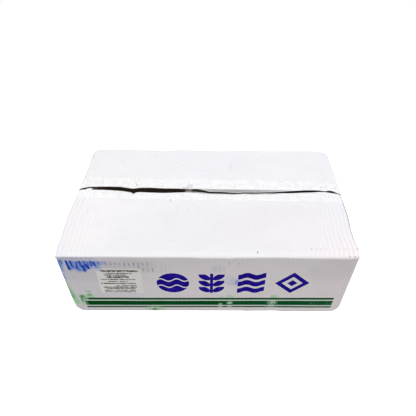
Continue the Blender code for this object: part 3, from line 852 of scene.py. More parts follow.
    def build(self):
        """Both halves, the spaces between their flaps, and the ends, sewn into one closed mesh."""
        form = self.form
        front, back = self.half(-1), self.half(1)
        for row in (0, -1):
            back[row, 0], back[row, -1] = front[row, 0], front[row, -1]
        self.skin.cover(front)
        self.skin.cover(back)
        near, far = form.slit(self.x)
        under = form.height - form.thick
        upper, lower = form.height - LINER, under + LINER
        deep = [
            (-1, 0.0, upper, CUT_SIDE), (-1, CAVITY, upper, SHADE_SIDE), (-1, CAVITY, lower, CUT_SIDE),
            (-1, 0.0, lower, CUT_SIDE), (-1, 0.0, under, SHADE_SIDE), (-1, SLIT_WELL, under, SHADE_SIDE),
            (-1, SLIT_WELL, SLIT_FLOOR, SHADE_SIDE), (1, SLIT_WELL, SLIT_FLOOR, SHADE_SIDE),
            (1, SLIT_WELL, under, SHADE_SIDE), (1, 0.0, under, CUT_SIDE), (1, 0.0, lower, CUT_SIDE),
            (1, CAVITY, lower, SHADE_SIDE), (1, CAVITY, upper, CUT_SIDE), (1, 0.0, upper, LINER_SIDE),
        ]
        self.channel(front[-1], back[-1], near, far, deep)
        shallow = [
            (-1, 0.0, LINER, CUT_SIDE), (-1, 0.0, SEAM_FLOOR, SHADE_SIDE),
            (1, 0.0, SEAM_FLOOR, CUT_SIDE), (1, 0.0, LINER, LINER_SIDE),
        ]
        self.channel(front[0], back[0], -self.seam, self.seam, shallow)
        for side in (-1, 1):
            self.end(side, front, back)
        mesh = self.skin.mesh("carton_shell")
        close_mesh(mesh)
        return mesh


def film_mesh(form, name, levels, widths, shape):
    """A thin closed sheet. shape(level, width, lift) gives its points, with their flat places."""
    skin = Skin()
    grids = []
    for lift in (0.0, FILM_THICKNESS):
        places, flats = shape(levels, widths, lift)
        grids.append(skin.add(form.settle(places), flats))
    low, high = grids
    skin.cover(low)
    skin.cover(high)
    for line in (0, -1):
        skin.cover(np.stack([low[line], high[line]]))
        skin.cover(np.stack([low[:, line], high[:, line]]))
    mesh = skin.mesh(name)
    close_mesh(mesh, 60.0)
    return mesh


def wrinkles(x, y, near, far):
    """Where the upper film is crumpled, in mm of height."""
    middle = (near + far) / 2
    notch = hill(x, -118.5, 5.0) * hill(y, middle + 1.0, 5.0)
    folds = np.sin(x * 2.3 + y * 1.1) + 0.6 * np.sin(y * 3.1 - x * 1.7)
    high = notch * (0.25 * folds - 0.35)
    right = hill(x, 181.0, 4.5) * hill(y, middle - 1.0, 4.0)
    high += right * 0.28 * np.sin(x * 1.9 - y * 1.3)
    left = hill(x, -199.0, 8.0) * hill(y, middle, 4.0)
    high += left * 0.22 * np.sin(x * 1.5 + y * 2.2)
    return high


def film_path(form, foot, level, leg_steps, top_steps):
    """Stations of a tape from end to end: x, height, and how its outward normal points out and up.

    foot is the height at which the tape starts on an end, and level that of the panel it crosses.
    """
    up = math.copysign(1.0, level - foot)
    inner = form.half_width - FILM_TURN
    start = level - up * FILM_TURN
    leg = [(form.half_width, height, 1.0, 0.0) for height in np.linspace(foot, start, leg_steps)[:-1]]
    for angle in np.radians((0, 22, 45, 68)):
        turn_out, turn_up = math.cos(angle), up * math.sin(angle)
        leg.append((inner + FILM_TURN * turn_out, start + FILM_TURN * turn_up, turn_out, turn_up))
    path = [(-out, height, -push, lift) for out, height, push, lift in leg]
    path += [(x, level, 0.0, up) for x in np.linspace(-inner, inner, top_steps)]
    return np.array(path + leg[::-1])


def top_film_mesh(form, tape):
    """The upper tape, which sinks a little into the slit. Its attribute gap is for film_finish."""
    half = tape.width / MM / 2
    middle, slope = tape.middle / MM, tape.slope
    path = film_path(form, form.height - tape.top_leg / MM, form.height, 24, 341)
    fine = np.arange(3.0, 24.0, 0.4) - middle
    widths = np.concatenate([np.linspace(-half, fine[0], 12)[:-1], fine, np.linspace(fine[-1], half, 10)[1:]])

    def shape(levels, widths, lift):
        x, up, push, rise = (levels[:, i][:, None] for i in range(4))
        y = middle + slope * x + widths[None, :]
        wide_x, wide_up = x + y * 0, up + y * 0
        near, far = form.slit(wide_x)
        inside = smooth(np.minimum(y - near, far - y) / 1.6 + 0.3)
        top = form.relief("top", wide_x, y) * 0.8 * (1 - inside)
        side = form.relief("end", y * np.sign(x), wide_up)
        on_top, on_end = rise > 0.99, np.abs(push) > 0.99
        high = FILM_LIFT + lift + (top * on_top + side * on_end)
        high = high + on_top * (wrinkles(wide_x, y, near, far) - 0.25 * inside)
        edge_roll = smooth((np.abs(widths)[None, :] - half + 0.8) / 0.8)
        high = high - 0.03 * edge_roll
        places = np.stack([x + push * high, y, up + rise * high], axis=-1)
        return places, np.stack([wide_x, y, wide_up], axis=-1)

    mesh = film_mesh(form, "tape_film_top", path, widths, shape)
    flat = np.zeros(len(mesh.vertices) * 3)
    mesh.attributes["flat"].data.foreach_get("vector", flat)
    x, y, z = flat.reshape(-1, 3).T
    near, far = form.slit(x)
    on_top = z > form.height - 0.2
    gap = np.where(on_top, np.maximum(near - y, y - far), 20.0)
    low, high, dark = (across(OPENING, column, x) for column in (1, 2, 3))
    core = np.where(on_top, np.maximum(low - y, y - high), 20.0)
    masks = mesh.attributes.new("gap", "FLOAT_VECTOR", "POINT")
    masks.data.foreach_set("vector", np.stack([gap, core, dark], axis=-1).ravel())
    return mesh


def base_film_mesh(form, tape):
    """The lower tape, which lies flat."""
    half = tape.width / MM / 2
    path = film_path(form, tape.base_leg / MM, 0.0, 20, 121)
    widths = np.linspace(-half, half, 25)

    def shape(levels, widths, lift):
        x, up, push, rise = (levels[:, i][:, None] for i in range(4))
        y = widths[None, :] + x * 0
        wide_x, wide_up = x + y * 0, up + y * 0
        side = form.relief("end", y * np.sign(x), wide_up) * (np.abs(push) > 0.99)
        high = BASE_FILM_LIFT + lift + side
        places = np.stack([x + push * high, y, up + rise * high], axis=-1)
        return places, np.stack([wide_x, y, wide_up], axis=-1)

    return film_mesh(form, "tape_film_base", path, widths, shape)


def label_mesh(form, label):
    """The label, with two of its corners curled off the wall."""
    left, bottom = label.left / MM, label.bottom / MM
    width, height = label.width / MM, label.height / MM
    levels = np.linspace(0.0, 1.0, 41)
    widths = np.linspace(0.0, 1.0, 61)

    def shape(levels, widths, lift):
        over, up = np.meshgrid(widths, levels)
        x, z = left + over * width, bottom + up * height
        raised = form.relief("wall", x, z) * 0.9
        upper_right = hill(over, 1.0, 0.06) * hill(up, 1.0, 0.08)
        lower_left = hill(over, 0.0, 0.05) * hill(up, 0.0, 0.07)
        curl = 0.5 * upper_right + 0.3 * lower_left
        y = -form.half_depth - LABEL_LIFT - lift - raised - curl
        flat = np.stack([over * width, np.full_like(x, -1.0), up * height], axis=-1)
        return np.stack([x, y, z], axis=-1), flat

    return film_mesh(form, "label_sheet", levels, widths, shape)


# ---------------------------------------------------------------- nodes


def feed(tree, node, inputs):
    """Joins a node's inputs, by name or number, to fields and sockets, or sets them to values."""
    for key, value in inputs.items():
        value = value.socket if isinstance(value, Field) else value
        if isinstance(value, bpy.types.NodeSocket):
            tree.links.new(value, node.inputs[key])
        else:
            node.inputs[key].default_value = value


def add_node(tree, kind, inputs, **settings):
    """A new node, set up and fed."""
    node = tree.nodes.new(kind)
    for key, value in settings.items():
        setattr(node, key, value)
    feed(tree, node, inputs)
    return node


# ---------------------------------------------------------------- flutes in the slit


def wave_group():
    """Geometry Nodes that turn paths into strips of fluting."""
    group = bpy.data.node_groups.new("fluting", "GeometryNodeTree")
    face = group.interface
    face.new_socket(name="Geometry", in_out="INPUT", socket_type="NodeSocketGeometry")
    for name in ("Pitch", "Height", "Depth", "Paper"):
        face.new_socket(name=name, in_out="INPUT", socket_type="NodeSocketFloat")
    face.new_socket(name="Material", in_out="INPUT", socket_type="NodeSocketMaterial")
    face.new_socket(name="Geometry", in_out="OUTPUT", socket_type="NodeSocketGeometry")
    given = group.nodes.new("NodeGroupInput").outputs

    def make(kind, inputs, **settings):
        return add_node(group, kind, inputs, **settings).outputs

    def math_of(operation, first, second):
        return make("ShaderNodeMath", {0: first, 1: second}, operation=operation)[0]

    path = make("GeometryNodeMeshToCurve", {"Mesh": given["Geometry"]})["Curve"]
    step = math_of("DIVIDE", given["Pitch"], 10.0)
    even = make("GeometryNodeResampleCurve", {"Curve": path, "Length": step}, mode="LENGTH")["Curve"]
    upright = make("GeometryNodeSetCurveNormal", {"Curve": even}, mode="Z_UP")["Curve"]
    turns = math_of("DIVIDE", make("GeometryNodeSplineParameter", {})["Length"], given["Pitch"])
    wave = math_of("SINE", math_of("MULTIPLY", turns, 2 * math.pi), 0.0)
    lift = math_of("MULTIPLY", wave, math_of("MULTIPLY", given["Height"], 0.5))
    offset = make("ShaderNodeCombineXYZ", {"Z": lift})["Vector"]
    waved = make("GeometryNodeSetPosition", {"Geometry": upright, "Offset": offset})["Geometry"]
    sides = {"Width": given["Depth"], "Height": given["Paper"]}
    section = make("GeometryNodeCurvePrimitiveQuadrilateral", sides)["Curve"]
    ends = {"Curve": waved, "Profile Curve": section, "Fill Caps": True}
    strip = make("GeometryNodeCurveToMesh", ends)["Mesh"]
    real = make("GeometryNodeRealizeInstances", {"Geometry": strip})["Geometry"]
    shown = make("GeometryNodeSetMaterial", {"Geometry": real, "Material": given["Material"]})["Geometry"]
    add_node(group, "NodeGroupOutput", {"Geometry": shown})
    return group


def fluting_mesh(form, board, material):
    """The wavy paper inside both flaps, where the slit cuts it."""
    depth = CAVITY - 0.5
    x = np.linspace(-form.half_width + 4.0, form.half_width - 4.0, 200)
    near, far = form.slit(x)
    level = np.full_like(x, form.height - form.thick / 2)
    points, edges = [], []
    for y in (near - 0.15 - depth / 2, far + 0.15 + depth / 2):
        start = len(points)
        points += form.settle(np.stack([x, y, level], axis=-1)).tolist()
        edges += [(start + i, start + i + 1) for i in range(len(x) - 1)]
    mesh = bpy.data.meshes.new("flute_paths")
    mesh.from_pydata(points, edges, [])
    paths = bpy.data.objects.new("flute_paths", mesh)
    bpy.context.scene.collection.objects.link(paths)
    group = wave_group()
    change = paths.modifiers.new("fluting", "NODES")
    change.node_group = group
    values = {
        "Pitch": board.flute_pitch,
        "Height": board.thickness - 2 * LINER * MM - FLUTE_CLEARANCE,
        "Depth": depth * MM,
        "Paper": FLUTE_PAPER,
        "Material": material,
    }
    for item in group.interface.items_tree:
        if item.item_type == "SOCKET" and item.in_out == "INPUT" and item.name in values:
            change[item.identifier] = values[item.name]
    evaluated = paths.evaluated_get(bpy.context.evaluated_depsgraph_get())
    made = bpy.data.meshes.new_from_object(evaluated)
    bpy.data.objects.remove(paths, do_unlink=True)
    made.name = "flute_medium"
    return made


# ---------------------------------------------------------------- finishes


class Field:
    """A number that varies over a surface, with sums written as in plain Python."""

    def __init__(self, tree, socket):
        self.tree, self.socket = tree, socket

    def math(self, operation, *others, clamp=False):
        """One step of a sum. others are fields or plain numbers."""
        inputs = dict(enumerate((self, *others)))
        node = add_node(self.tree, "ShaderNodeMath", inputs, operation=operation, use_clamp=clamp)
        return Field(self.tree, node.outputs[0])

    def __add__(self, other):
        return self.math("ADD", other)

    def __sub__(self, other):
        return self.math("SUBTRACT", other)

    def __mul__(self, other):
        return self.math("MULTIPLY", other)

    def __truediv__(self, other):
        return self.math("DIVIDE", other)

    def __neg__(self):
        return self.math("MULTIPLY", -1.0)

    def __abs__(self):
        return self.math("ABSOLUTE")

    __radd__, __rmul__ = __add__, __mul__

    def over(self, level):
        return self.math("GREATER_THAN", level)

    def low(self, other):
        return self.math("MINIMUM", other)

    def high(self, other):
        return self.math("MAXIMUM", other)

    def wrap(self, length):
        return self.math("FLOORED_MODULO", length)

    def sine(self, length):
        return (self * (2 * math.pi / length)).math("SINE")

    def span(self, other):
        """Length of the diagonal over this field and another."""
        return (self * self + other * other).math("SQRT")

    def inside(self, soft):
        """1 where the distance is below zero and 0 where it is above, with a soft edge."""
        return self.math("MULTIPLY_ADD", -1.0 / soft, 0.5, clamp=True)

    def curve(self, points):
        """A line through points, level beyond its ends."""
        xs, values = [point[0] for point in points], [point[1] for point in points]
        left, wide = xs[0], xs[-1] - xs[0]
        base, tall = min(values), max(values) - min(values)
        node = add_node(self.tree, "ShaderNodeFloatCurve", {"Value": self.rise(left, xs[-1])})
        line = node.mapping.curves[0].points
        while len(line) < len(points):
            line.new(0.5, 0.5)
        for knot, x, value in zip(line, xs, values):
            knot.location = ((x - left) / wide, (value - base) / tall)
            knot.handle_type = "VECTOR"
        node.mapping.update()
        return Field(self.tree, node.outputs[0]) * tall + base

    def rise(self, start, stop):
        """From 0 at start to 1 at stop."""
        return self.math("MULTIPLY_ADD", 1.0 / (stop - start), -start / (stop - start), clamp=True)


class Finish:
    """A material under construction, with its places in mm."""

    def __init__(self, name):
        self.material = bpy.data.materials.new(name)
        self.material.use_nodes = True
        self.tree = self.material.node_tree
        self.shader = self.tree.nodes["Principled BSDF"]
        self.place = self.attribute("flat")
        self.x, self.y, self.z = self.split(self.place)

    def attribute(self, name):
        return add_node(self.tree, "ShaderNodeAttribute", {}, attribute_name=name).outputs["Vector"]

    def split(self, vector):
        node = add_node(self.tree, "ShaderNodeSeparateXYZ", {0: vector})
        return tuple(Field(self.tree, output) for output in node.outputs)

    def noise(self, scale, detail=2.0, stretch=(1.0, 1.0, 1.0), shift=0.0):
        """Noise between 0 and 1. scale is the size of its lumps in mm."""
        place = {
            "Scale": [1.0 / (scale * s) for s in stretch],
            "Location": (shift, shift * 1.7, shift * 2.3),
            "Vector": self.place,
        }
        moved = add_node(self.tree, "ShaderNodeMapping", place).outputs[0]
        lumps = {"Scale": 1.0, "Detail": detail, "Vector": moved}
        return Field(self.tree, add_node(self.tree, "ShaderNodeTexNoise", lumps).outputs["Fac"])

    def specks(self, spacing, size, share):
        """Scattered dots, one at most in each cell of a grid."""
        cells = {"Scale": 1.0 / spacing, "Vector": self.place}
        node = add_node(self.tree, "ShaderNodeTexVoronoi", cells)
        pick = add_node(self.tree, "ShaderNodeSeparateColor", {0: node.outputs["Color"]})
        chosen = Field(self.tree, pick.outputs[0]).over(1.0 - share)
        radius = Field(self.tree, pick.outputs[1]) * (size / spacing)
        return (Field(self.tree, node.outputs["Distance"]) - radius).inside(0.3 * size / spacing) * chosen

    def mix(self, below, above, share):
        """One colour laid over another. A colour is a socket or three numbers, share a field or a number."""

        def full(tone):
            return tone if isinstance(tone, bpy.types.NodeSocket) else (*tone, 1.0)

        inputs = {0: share, 6: full(below), 7: full(above)}
        return add_node(self.tree, "ShaderNodeMix", inputs, data_type="RGBA").outputs[2]

    def join(self, red, green, blue):
        """A colour made of three fields."""
        return add_node(self.tree, "ShaderNodeCombineXYZ", {0: red, 1: green, 2: blue}).outputs[0]

    def shade(self, colour, share):
        """colour made darker or lighter by a field around 1."""
        inputs = {0: colour, "Scale": share}
        return add_node(self.tree, "ShaderNodeVectorMath", inputs, operation="SCALE").outputs[0]

    def finish(self, colour, roughness, relief=None, depth=0.0, shine=0.015, alpha=None):
        """Joins everything to the shader. depth is that of the relief in m."""
        inputs = {"Base Color": colour, "Roughness": roughness, "Specular IOR Level": shine}
        if relief is not None:
            bump = {"Strength": 1.0, "Distance": depth, "Height": relief}
            inputs["Normal"] = add_node(self.tree, "ShaderNodeBump", bump).outputs[0]
        if alpha is not None:
            inputs["Alpha"] = alpha
        feed(self.tree, self.shader, inputs)
        return self.material


def box_distance(u, v, left, right, bottom, top):
    """Distance from an upright box, below zero inside it."""
    wide = abs(u - (left + right) / 2) - (right - left) / 2
    tall = abs(v - (bottom + top) / 2) - (top - bottom) / 2
    return wide.high(tall)


def stroke_distance(u, v, start_u, start_v, stop_u, stop_v):
    """Distance from a straight line between two points."""
    run_u, run_v = stop_u - start_u, stop_v - start_v
    from_u, from_v = u - start_u, v - start_v
    share = (from_u * run_u + from_v * run_v) * (1.0 / (run_u * run_u + run_v * run_v))
    share = share.math("MULTIPLY", 1.0, clamp=True)
    return (from_u - share * run_u).span(from_v - share * run_v)


def patch(u, v, middle, reach, ragged, roughness=0.8):
    """An irregular spot: 1 in its middle, falling to 0 at its rim. ragged is a noise field."""
    far = ((u - middle[0]) / reach[0]).span((v - middle[1]) / reach[1])
    return (far + (ragged - 0.5) * roughness - 1.0).inside(0.5)


def motif_distance(u, v):
    """Distance from the four plain motifs, below zero inside them."""
    v = v - MOTIF_HEIGHT
    disc_u, sprig_u, bars_u, ring_u = (u - middle for middle in MOTIF_MIDDLES)
    # A disc with two wavy gaps
    swell = v - disc_u.sine(23.0) * 3.0
    disc = (disc_u.span(v) - 23.4).high(-(abs(abs(swell) - 7.6) - 1.3))
    # A stem with slanting leaves on both sides
    out = abs(sprig_u)
    step = (v + 24.0).wrap(15.0) - 8.6
    turn_a, turn_b = math.cos(0.72), math.sin(0.72)
    long = (out - 10.2) * turn_a + step * turn_b
    short = step * turn_a - (out - 10.2) * turn_b
    leaves = ((long / 10.2).span(short / 5.6) - 1.0) * 5.6
    leaves = leaves.high(abs(v + 1.5) - 22.3)
    sprig = leaves.low(out - 2.3).high(abs(v + 1.0) - 23.8)
    # Three wavy bars
    swell = v + bars_u.sine(26.0) * 2.4
    bars = abs((swell + 24.6).wrap(16.4) - 8.2) - 5.7
    bars = bars.high(abs(bars_u) - 19.8).high(abs(swell) - 24.6)
    # A lozenge inside another's outline
    tile = (abs(ring_u) + abs(v) - 25.0) * 0.72
    ring = tile.high(-(tile + 7.2)).low(tile + 12.6)
    return disc.low(sprig).low(bars).low(ring)


def stripe_distance(u, v):
    """Distance from the three stripes, below zero inside them."""
    v = v - u.curve(STRIPE_LIFT)
    upper, middle, lower = (box_distance(u, v, STRIPE_LEFT, STRIPE_RIGHT, *rows) for rows in STRIPES)
    return upper.low(middle).low(lower)


class LinerFinish(Finish):
    """White liner with its print, its scuffs and its dirt, and painted light and shade."""

    def __init__(self, board, ink):
        super().__init__("white_liner")
        self.board, self.ink = board, ink
        half_depth, self.height = board.depth / MM / 2, board.height / MM
        self.pitch = board.flute_pitch / MM
        x, y, z = self.x, self.y, self.z
        self.front, self.back = (-y).over(half_depth - WALL_MARGIN), y.over(half_depth - WALL_MARGIN)
        self.wall = self.front + self.back
        self.top = z.over(self.height - TOP_MARGIN)
        below_top = 1.0 + self.top * -1.0
        self.face = (-y).over(half_depth - CORNER_MARGIN) * below_top
        self.edge = (-y).over(half_depth - BAND_MARGIN) * below_top
        self.u = x * (self.front - self.back)
        self.noises = {
            "broad": self.noise(52.0, 2.0),
            "mid": self.noise(8.0, 3.0, shift=3.0),
            "fine": self.noise(1.6, 2.0, shift=7.0),
            "streak": self.noise(3.0, 3.0, stretch=(0.62, 1.0, 3.2), shift=5.0),
            "wisp": self.noise(20.0, 3.0, stretch=(1.6, 0.8, 1.0), shift=9.0),
            "grain": self.noise(0.8, 1.0, shift=11.0),
        }
        self.flute = (x * (2 * math.pi / self.pitch)).math("COSINE")
        middle = ((x - TICK_SHIFT) / self.pitch).wrap(1.0) - 0.5
        self.tick = (abs(middle) - 0.17).inside(0.18)
        tones = [x.curve([(row[0], row[channel]) for row in WALL_TONES]) for channel in (1, 2, 3)]
        self.colour = self.mix(tuple(board.liner_colour), self.join(*tones), self.front)
        self.inks = {
            "blue": tuple(ink.scuff_blue),
            "haze": tuple(ink.scuff_haze),
            "green": tuple(ink.scuff_green),
            "pale": tuple(ink.scuff_pale),
            "dirt": tuple(ink.dirt_colour),
        }

    def lay(self, tone, share):
        """Lays a tone over the colour so far."""
        self.colour = self.mix(self.colour, tone, share)

    def tone_board(self):
        """Broad, faint changes of tone, partly painted shade, the flutes that show through the liner painted
        as light and shade, painted shade by the top's left end and back fold and at the front wall's ends,
        and painted light at the walls' foot.
        """
        x, y, z, noises, top = self.x, self.y, self.z, self.noises, self.top
        mid = noises["mid"]
        # These patches are partly painted shade of the top's waviness
        for middle, reach, tone, strength in TOP_TONES:
            self.lay(tone, patch(x, y, middle, reach, mid, 0.6) * top * strength)
        corner = (x * 0.5 - y * 0.85 + (mid - 0.5) * 30.0).rise(150.0, 186.0) * x.rise(112.0, 172.0)
        near_ends = abs(x).rise(132.0, 184.0)
        far_edge = y.rise(72.0, 118.0) * x.rise(140.0, 60.0) * 0.75
        visible = near_ends.high(far_edge).high(corner) * mid.rise(0.25, 0.55)
        self.lay((0.875, 0.785, 0.80), corner * (self.flute * 0.48 + 0.52) * top * 0.90)
        # The flutes are painted into the tone as light and shade stripes, on the top and the walls, over and
        # above their relief
        shown = visible * (y.rise(60.0, -10.0) * 0.014 + 0.011)
        tone = self.flute * (shown + corner * 0.026 + 0.004) * top
        tone = tone + self.flute * self.wall * (mid - 0.15) * 0.020
        for name, share in TONE_NOISES:
            tone = tone + (noises[name] - 0.5) * share
        tone = tone + 1.0
        # Painted shade along the top's left end, where it folds down
        left_end_shade = (-x).rise(199.0, 204.0) * noises["wisp"].rise(0.3, 0.6)
        back_fold_shade, foot = y.rise(115.5, 118.5), z.rise(11.0, 6.0)
        middle = y.rise(10.0, -30.0) * x.rise(-110.0, -60.0)
        tone = tone - left_end_shade * 0.06 * top
        # The top's back fold is darkened as painted shade, and the walls' foot lightened as painted light
        tone = tone - back_fold_shade * 0.035 * top + foot * self.wall * 0.13
        tone = tone - middle * 0.018 * top
        # Painted shade in patches near both ends of the front wall
        grey = patch(x, z, *LEFT_SHADE, mid, 0.5).high(patch(x, z, *RIGHT_SHADE, mid, 0.5))
        tone = tone - grey * self.front * 0.055
        self.colour = self.shade(self.colour, tone)

    def mark_board(self):
        """Painted light behind the front fold, the scratches and a painted shadow line, and painted highlight
        and shade by each upright crease.
        """
        x, y, z, noises, top = self.x, self.y, self.z, self.noises, self.top
        # A light band and line behind the front fold, painted light where the sunk fold faces the light
        fold = y + self.board.depth / MM / 2
        fold_band_light = fold.rise(-1.0, 0.5) * fold.rise(9.5, 8.5)
        line = (abs(fold - 9.6) - 0.45).inside(0.6)
        along = x.rise(-170.0, 60.0).math("ADD", 0.35, clamp=True)
        self.lay((0.86, 0.84, 0.87), (fold_band_light * 0.28 + line * 0.30) * along * top)
        for *ends, thick, strength in SCRATCHES:
            tone = (0.95, 0.93, 0.95) if strength < 0 else (0.16, 0.16, 0.15)
            far = stroke_distance(x, y, *ends) + (noises["fine"] - 0.5) * 1.2
            self.lay(tone, (far - thick / 2).inside(0.8) * top * abs(strength))
        for ridge, strength in ((LEFT_RIDGE, 0.50), (RIGHT_RIDGE, 0.34)):
            away = (x - z.curve(ridge)) * math.copysign(1.0, -ridge[0][1])
            # Beside each crease a highlight line and a shade line are painted
            light = (abs(away) - 0.45).inside(0.7) * noises["mid"].rise(0.2, 0.5)
            shade = (abs(away - 1.6) - 0.5).inside(0.9)
            self.lay((0.95, 0.92, 0.93), light * self.face * strength)
            self.lay((0.52, 0.50, 0.53), shade * self.face * strength * 0.35)

    def smear(self):
        """Smears and strokes of blue and green on the front wall."""
        u, z, noises, front = self.u, self.z, self.noises, self.front
        inks = self.inks
        for name, kind, middle_x, middle_z, reach_x, reach_z, ragged, strength in SMEARS:
            spot = patch(u, z, (middle_x, middle_z), (reach_x, reach_z), noises[kind], ragged)
            self.lay(inks[name], spot * front * strength)
        streak = noises["streak"] - 0.5
        above = (z - u.curve(BLUE_FOOT) + streak * 16.0).rise(-2.0, 3.0)
        below = (z + streak * 5.0).rise(126.4, 123.6)
        within = above * below * (u + 190.5).rise(-1.0, 1.0) * u.rise(-128.0, -158.0)
        self.lay(inks["haze"], within * noises["fine"].rise(0.1, 0.6) * front * 0.92)
        for *ends, thick, strength in BLUE_STROKES:
            far = stroke_distance(u, z, *ends)
            far = far + (noises["fine"] - 0.5) * 2.6 + streak * 3.2 - thick / 2
            self.lay(inks["blue"], far.inside(1.5) * self.face * strength)
        patchy = noises["streak"].rise(0.24, 0.50)
        for limit, name, low, high in ((BLUE_EDGE, "haze", 64.0, 131.0), (GREEN_EDGE, "pale", 14.0, 84.0)):
            outside = (self.x - z.curve(limit) + streak * 5.0).rise(1.5, -2.5)
            ends = z.rise(low, low + 10.0) * z.rise(high, high - 8.0)
            self.lay(inks[name], outside * ends * patchy * self.edge * 0.92)
        outside = (self.x - z.curve(GREEN_EDGE) + streak * 7.0).rise(-1.5, -4.5)
        outside = outside * z.rise(30.0, 38.0) * z.rise(82.0, 66.0)
        self.lay(inks["green"], outside * noises["fine"].rise(0.3, 0.6) * self.edge * 0.7)

    def rub(self):
        """Grey rubbing marks under the front fold and on the wall, in the flutes' rhythm."""
        z, mid = self.z, self.noises["mid"]
        under_fold = box_distance(self.x, z, -201.0, -153.0, self.height - 3.4, self.height - 1.8).inside(1.2)
        outer = (-self.y).over(self.board.depth / MM / 2 - CORNER_MARGIN)
        self.lay(self.inks["haze"], under_fold * outer * 0.26)
        self.lay((0.09, 0.12, 0.25), under_fold * outer * self.tick * mid.rise(0.25, 0.5) * 0.50)
        streak = self.noises["streak"] - 0.5
        smudge, rubbed = (self.tick * 0.8 + streak * 1.7).rise(0.22, 0.80), mid.rise(0.28, 0.55)
        for *sides, strength in MARKS:
            area = (box_distance(self.u, z, *sides) + streak * 12.0).inside(3.0)
            self.lay(self.inks["dirt"], smudge * area * rubbed * self.front * strength)

    def print_walls(self):
        """Four motifs and three stripes on both long walls, rubbed in places."""
        u, z, noises, wall = self.u, self.z, self.noises, self.wall
        motifs, stripes = motif_distance(u, z), stripe_distance(u, z)
        self.lay((0.92, 0.90, 0.86), (motifs - 1.0).inside(0.6) * wall * 0.85)
        self.lay((0.90, 0.88, 0.86), (stripes - 0.8).inside(0.6) * wall * 0.45)
        between = box_distance(u, z, -187.0, 191.0, 12.0, 33.0).inside(1.0) * wall
        self.lay((0.68, 0.92, 0.72), between * 0.50)
        deep = tuple(self.ink.motif_colour)
        light = tuple(min(1.0, channel * 1.5 + 0.012) for channel in deep)
        navy = self.mix(deep, light, noises["mid"].rise(0.45, 0.75))
        self.lay(self.shade(navy, self.flute * 0.14 + 1.0), motifs.inside(0.35) * wall)
        deep = tuple(self.ink.stripe_colour)
        light = (deep[0] + 0.001, deep[1] * 1.35, deep[2] * 2.0)
        share = (noises["wisp"] - 0.5 + u * 0.0016).rise(-0.15, 0.30)
        green = self.shade(self.mix(deep, light, share), self.flute * 0.08 + 1.0)
        inked = stripes.inside(0.35) * wall
        self.lay(green, inked)
        grains = (noises["fine"] * 0.6 + noises["streak"] * 0.6).rise(0.48, 0.64)
        for middle_x, middle_z, reach_x, reach_z, strength in RUBBED:
            spot = patch(u, z, (middle_x, middle_z), (reach_x, reach_z), noises["streak"], 1.7)
            self.lay((0.52, 0.80, 0.58), inked * spot * grains * self.front * strength)
        slant = (u - z * 0.5).wrap(self.pitch) - self.pitch / 2
        area = box_distance(u, z, 156.0, 190.0, 19.0, 25.5).inside(1.5)
        dots = (abs(slant) - 0.8).inside(1.0) * area
        self.lay((0.20, 0.44, 0.28), inked * dots * self.front * noises["streak"].rise(0.40, 0.6) * 0.45)

    def speckle(self):
        """Specks, and rows of small marks where the crushed corner's flutes are rubbed."""
        x, y, noises, top = self.x, self.y, self.noises, self.top
        middle = ((x - TICK_SHIFT + 1.6 + (y + 105.0) * 0.35) / self.pitch).wrap(1.0) - 0.5
        tick = (abs(middle) - 0.09).inside(0.16)
        ragged = noises["fine"] - 0.5
        area = (box_distance(x, y, 134.0, 190.0, -118.0, -115.4) + ragged * 2.4).inside(1.4)
        self.lay((0.40, 0.33, 0.31), tick * area * noises["streak"].rise(0.32, 0.52) * top * 0.26)
        for middle_x, middle_y, size, strength in SPECKS:
            far = (x - middle_x).span((y - middle_y) * 0.7)
            spot = (far + ragged * 1.4 - size).inside(1.0)
            self.lay((0.11, 0.08, 0.07), spot * top * strength)
        self.lay((0.32, 0.30, 0.29), self.specks(15.0, 0.8, 0.09) * 0.25)

    def build(self):
        self.tone_board()
        self.mark_board()
        self.smear()
        self.rub()
        self.print_walls()
        self.speckle()
        relief = (self.noises["fine"] - 0.5) * 0.6 + (self.noises["mid"] - 0.5) * 0.4
        return self.finish(self.colour, self.board.roughness, relief, 0.00008)


def cut_finish(board):
    """The cut edge of the board: brown, paler here and there, and darkened by painted shade inside the slit.
    """
    paint = Finish("cut_edge")
    height = board.height / MM
    noise = paint.noise(2.0, 3.0)
    in_slit = (abs(paint.x) - board.width / MM / 2 + 2.5).inside(0.5) * paint.z.over(height / 2)
    # Inside the slit the cut edge is darkened almost to black as painted shade
    slit_shade = tuple(channel * 0.04 for channel in board.cut_colour)
    colour = paint.mix(tuple(board.cut_colour), slit_shade, in_slit)
    colour = paint.mix(colour, (0.55, 0.52, 0.50), noise.rise(0.62, 0.8) * 0.2)
    colour = paint.shade(colour, 0.75 + noise * 0.5)
    return paint.finish(colour, 0.9, noise, 0.0002)


def inside_shade_finish(board):
    """The inside of the slit and of the folds, coloured near black as painted shade, a little browner in
    places.
    """
    paint = Finish("dark_inside")
    noise = paint.noise(6.0, 3.0)
    colour = paint.mix(tuple(board.inside_shade_colour), (0.05, 0.022, 0.008), noise.rise(0.58, 0.75) * 0.5)
    return paint.finish(colour, 0.95, noise, 0.0003)


def fluting_finish():
    """The wavy paper: brown darkened by painted shade, with a slightly paler grain."""
    paint = Finish("fluting_paper")
    tree = paint.tree
    place = add_node(tree, "ShaderNodeTexCoord", {}).outputs["Object"]
    noise = add_node(tree, "ShaderNodeTexNoise", {"Scale": 260.0, "Vector": place})
    grain = Field(tree, noise.outputs["Fac"])
    # The paper's brown is darkened almost to black as painted shade of the slit
    colour = paint.mix((0.006, 0.004, 0.003), (0.030, 0.022, 0.016), grain)
    return paint.finish(colour, 0.9, shine=0.5)


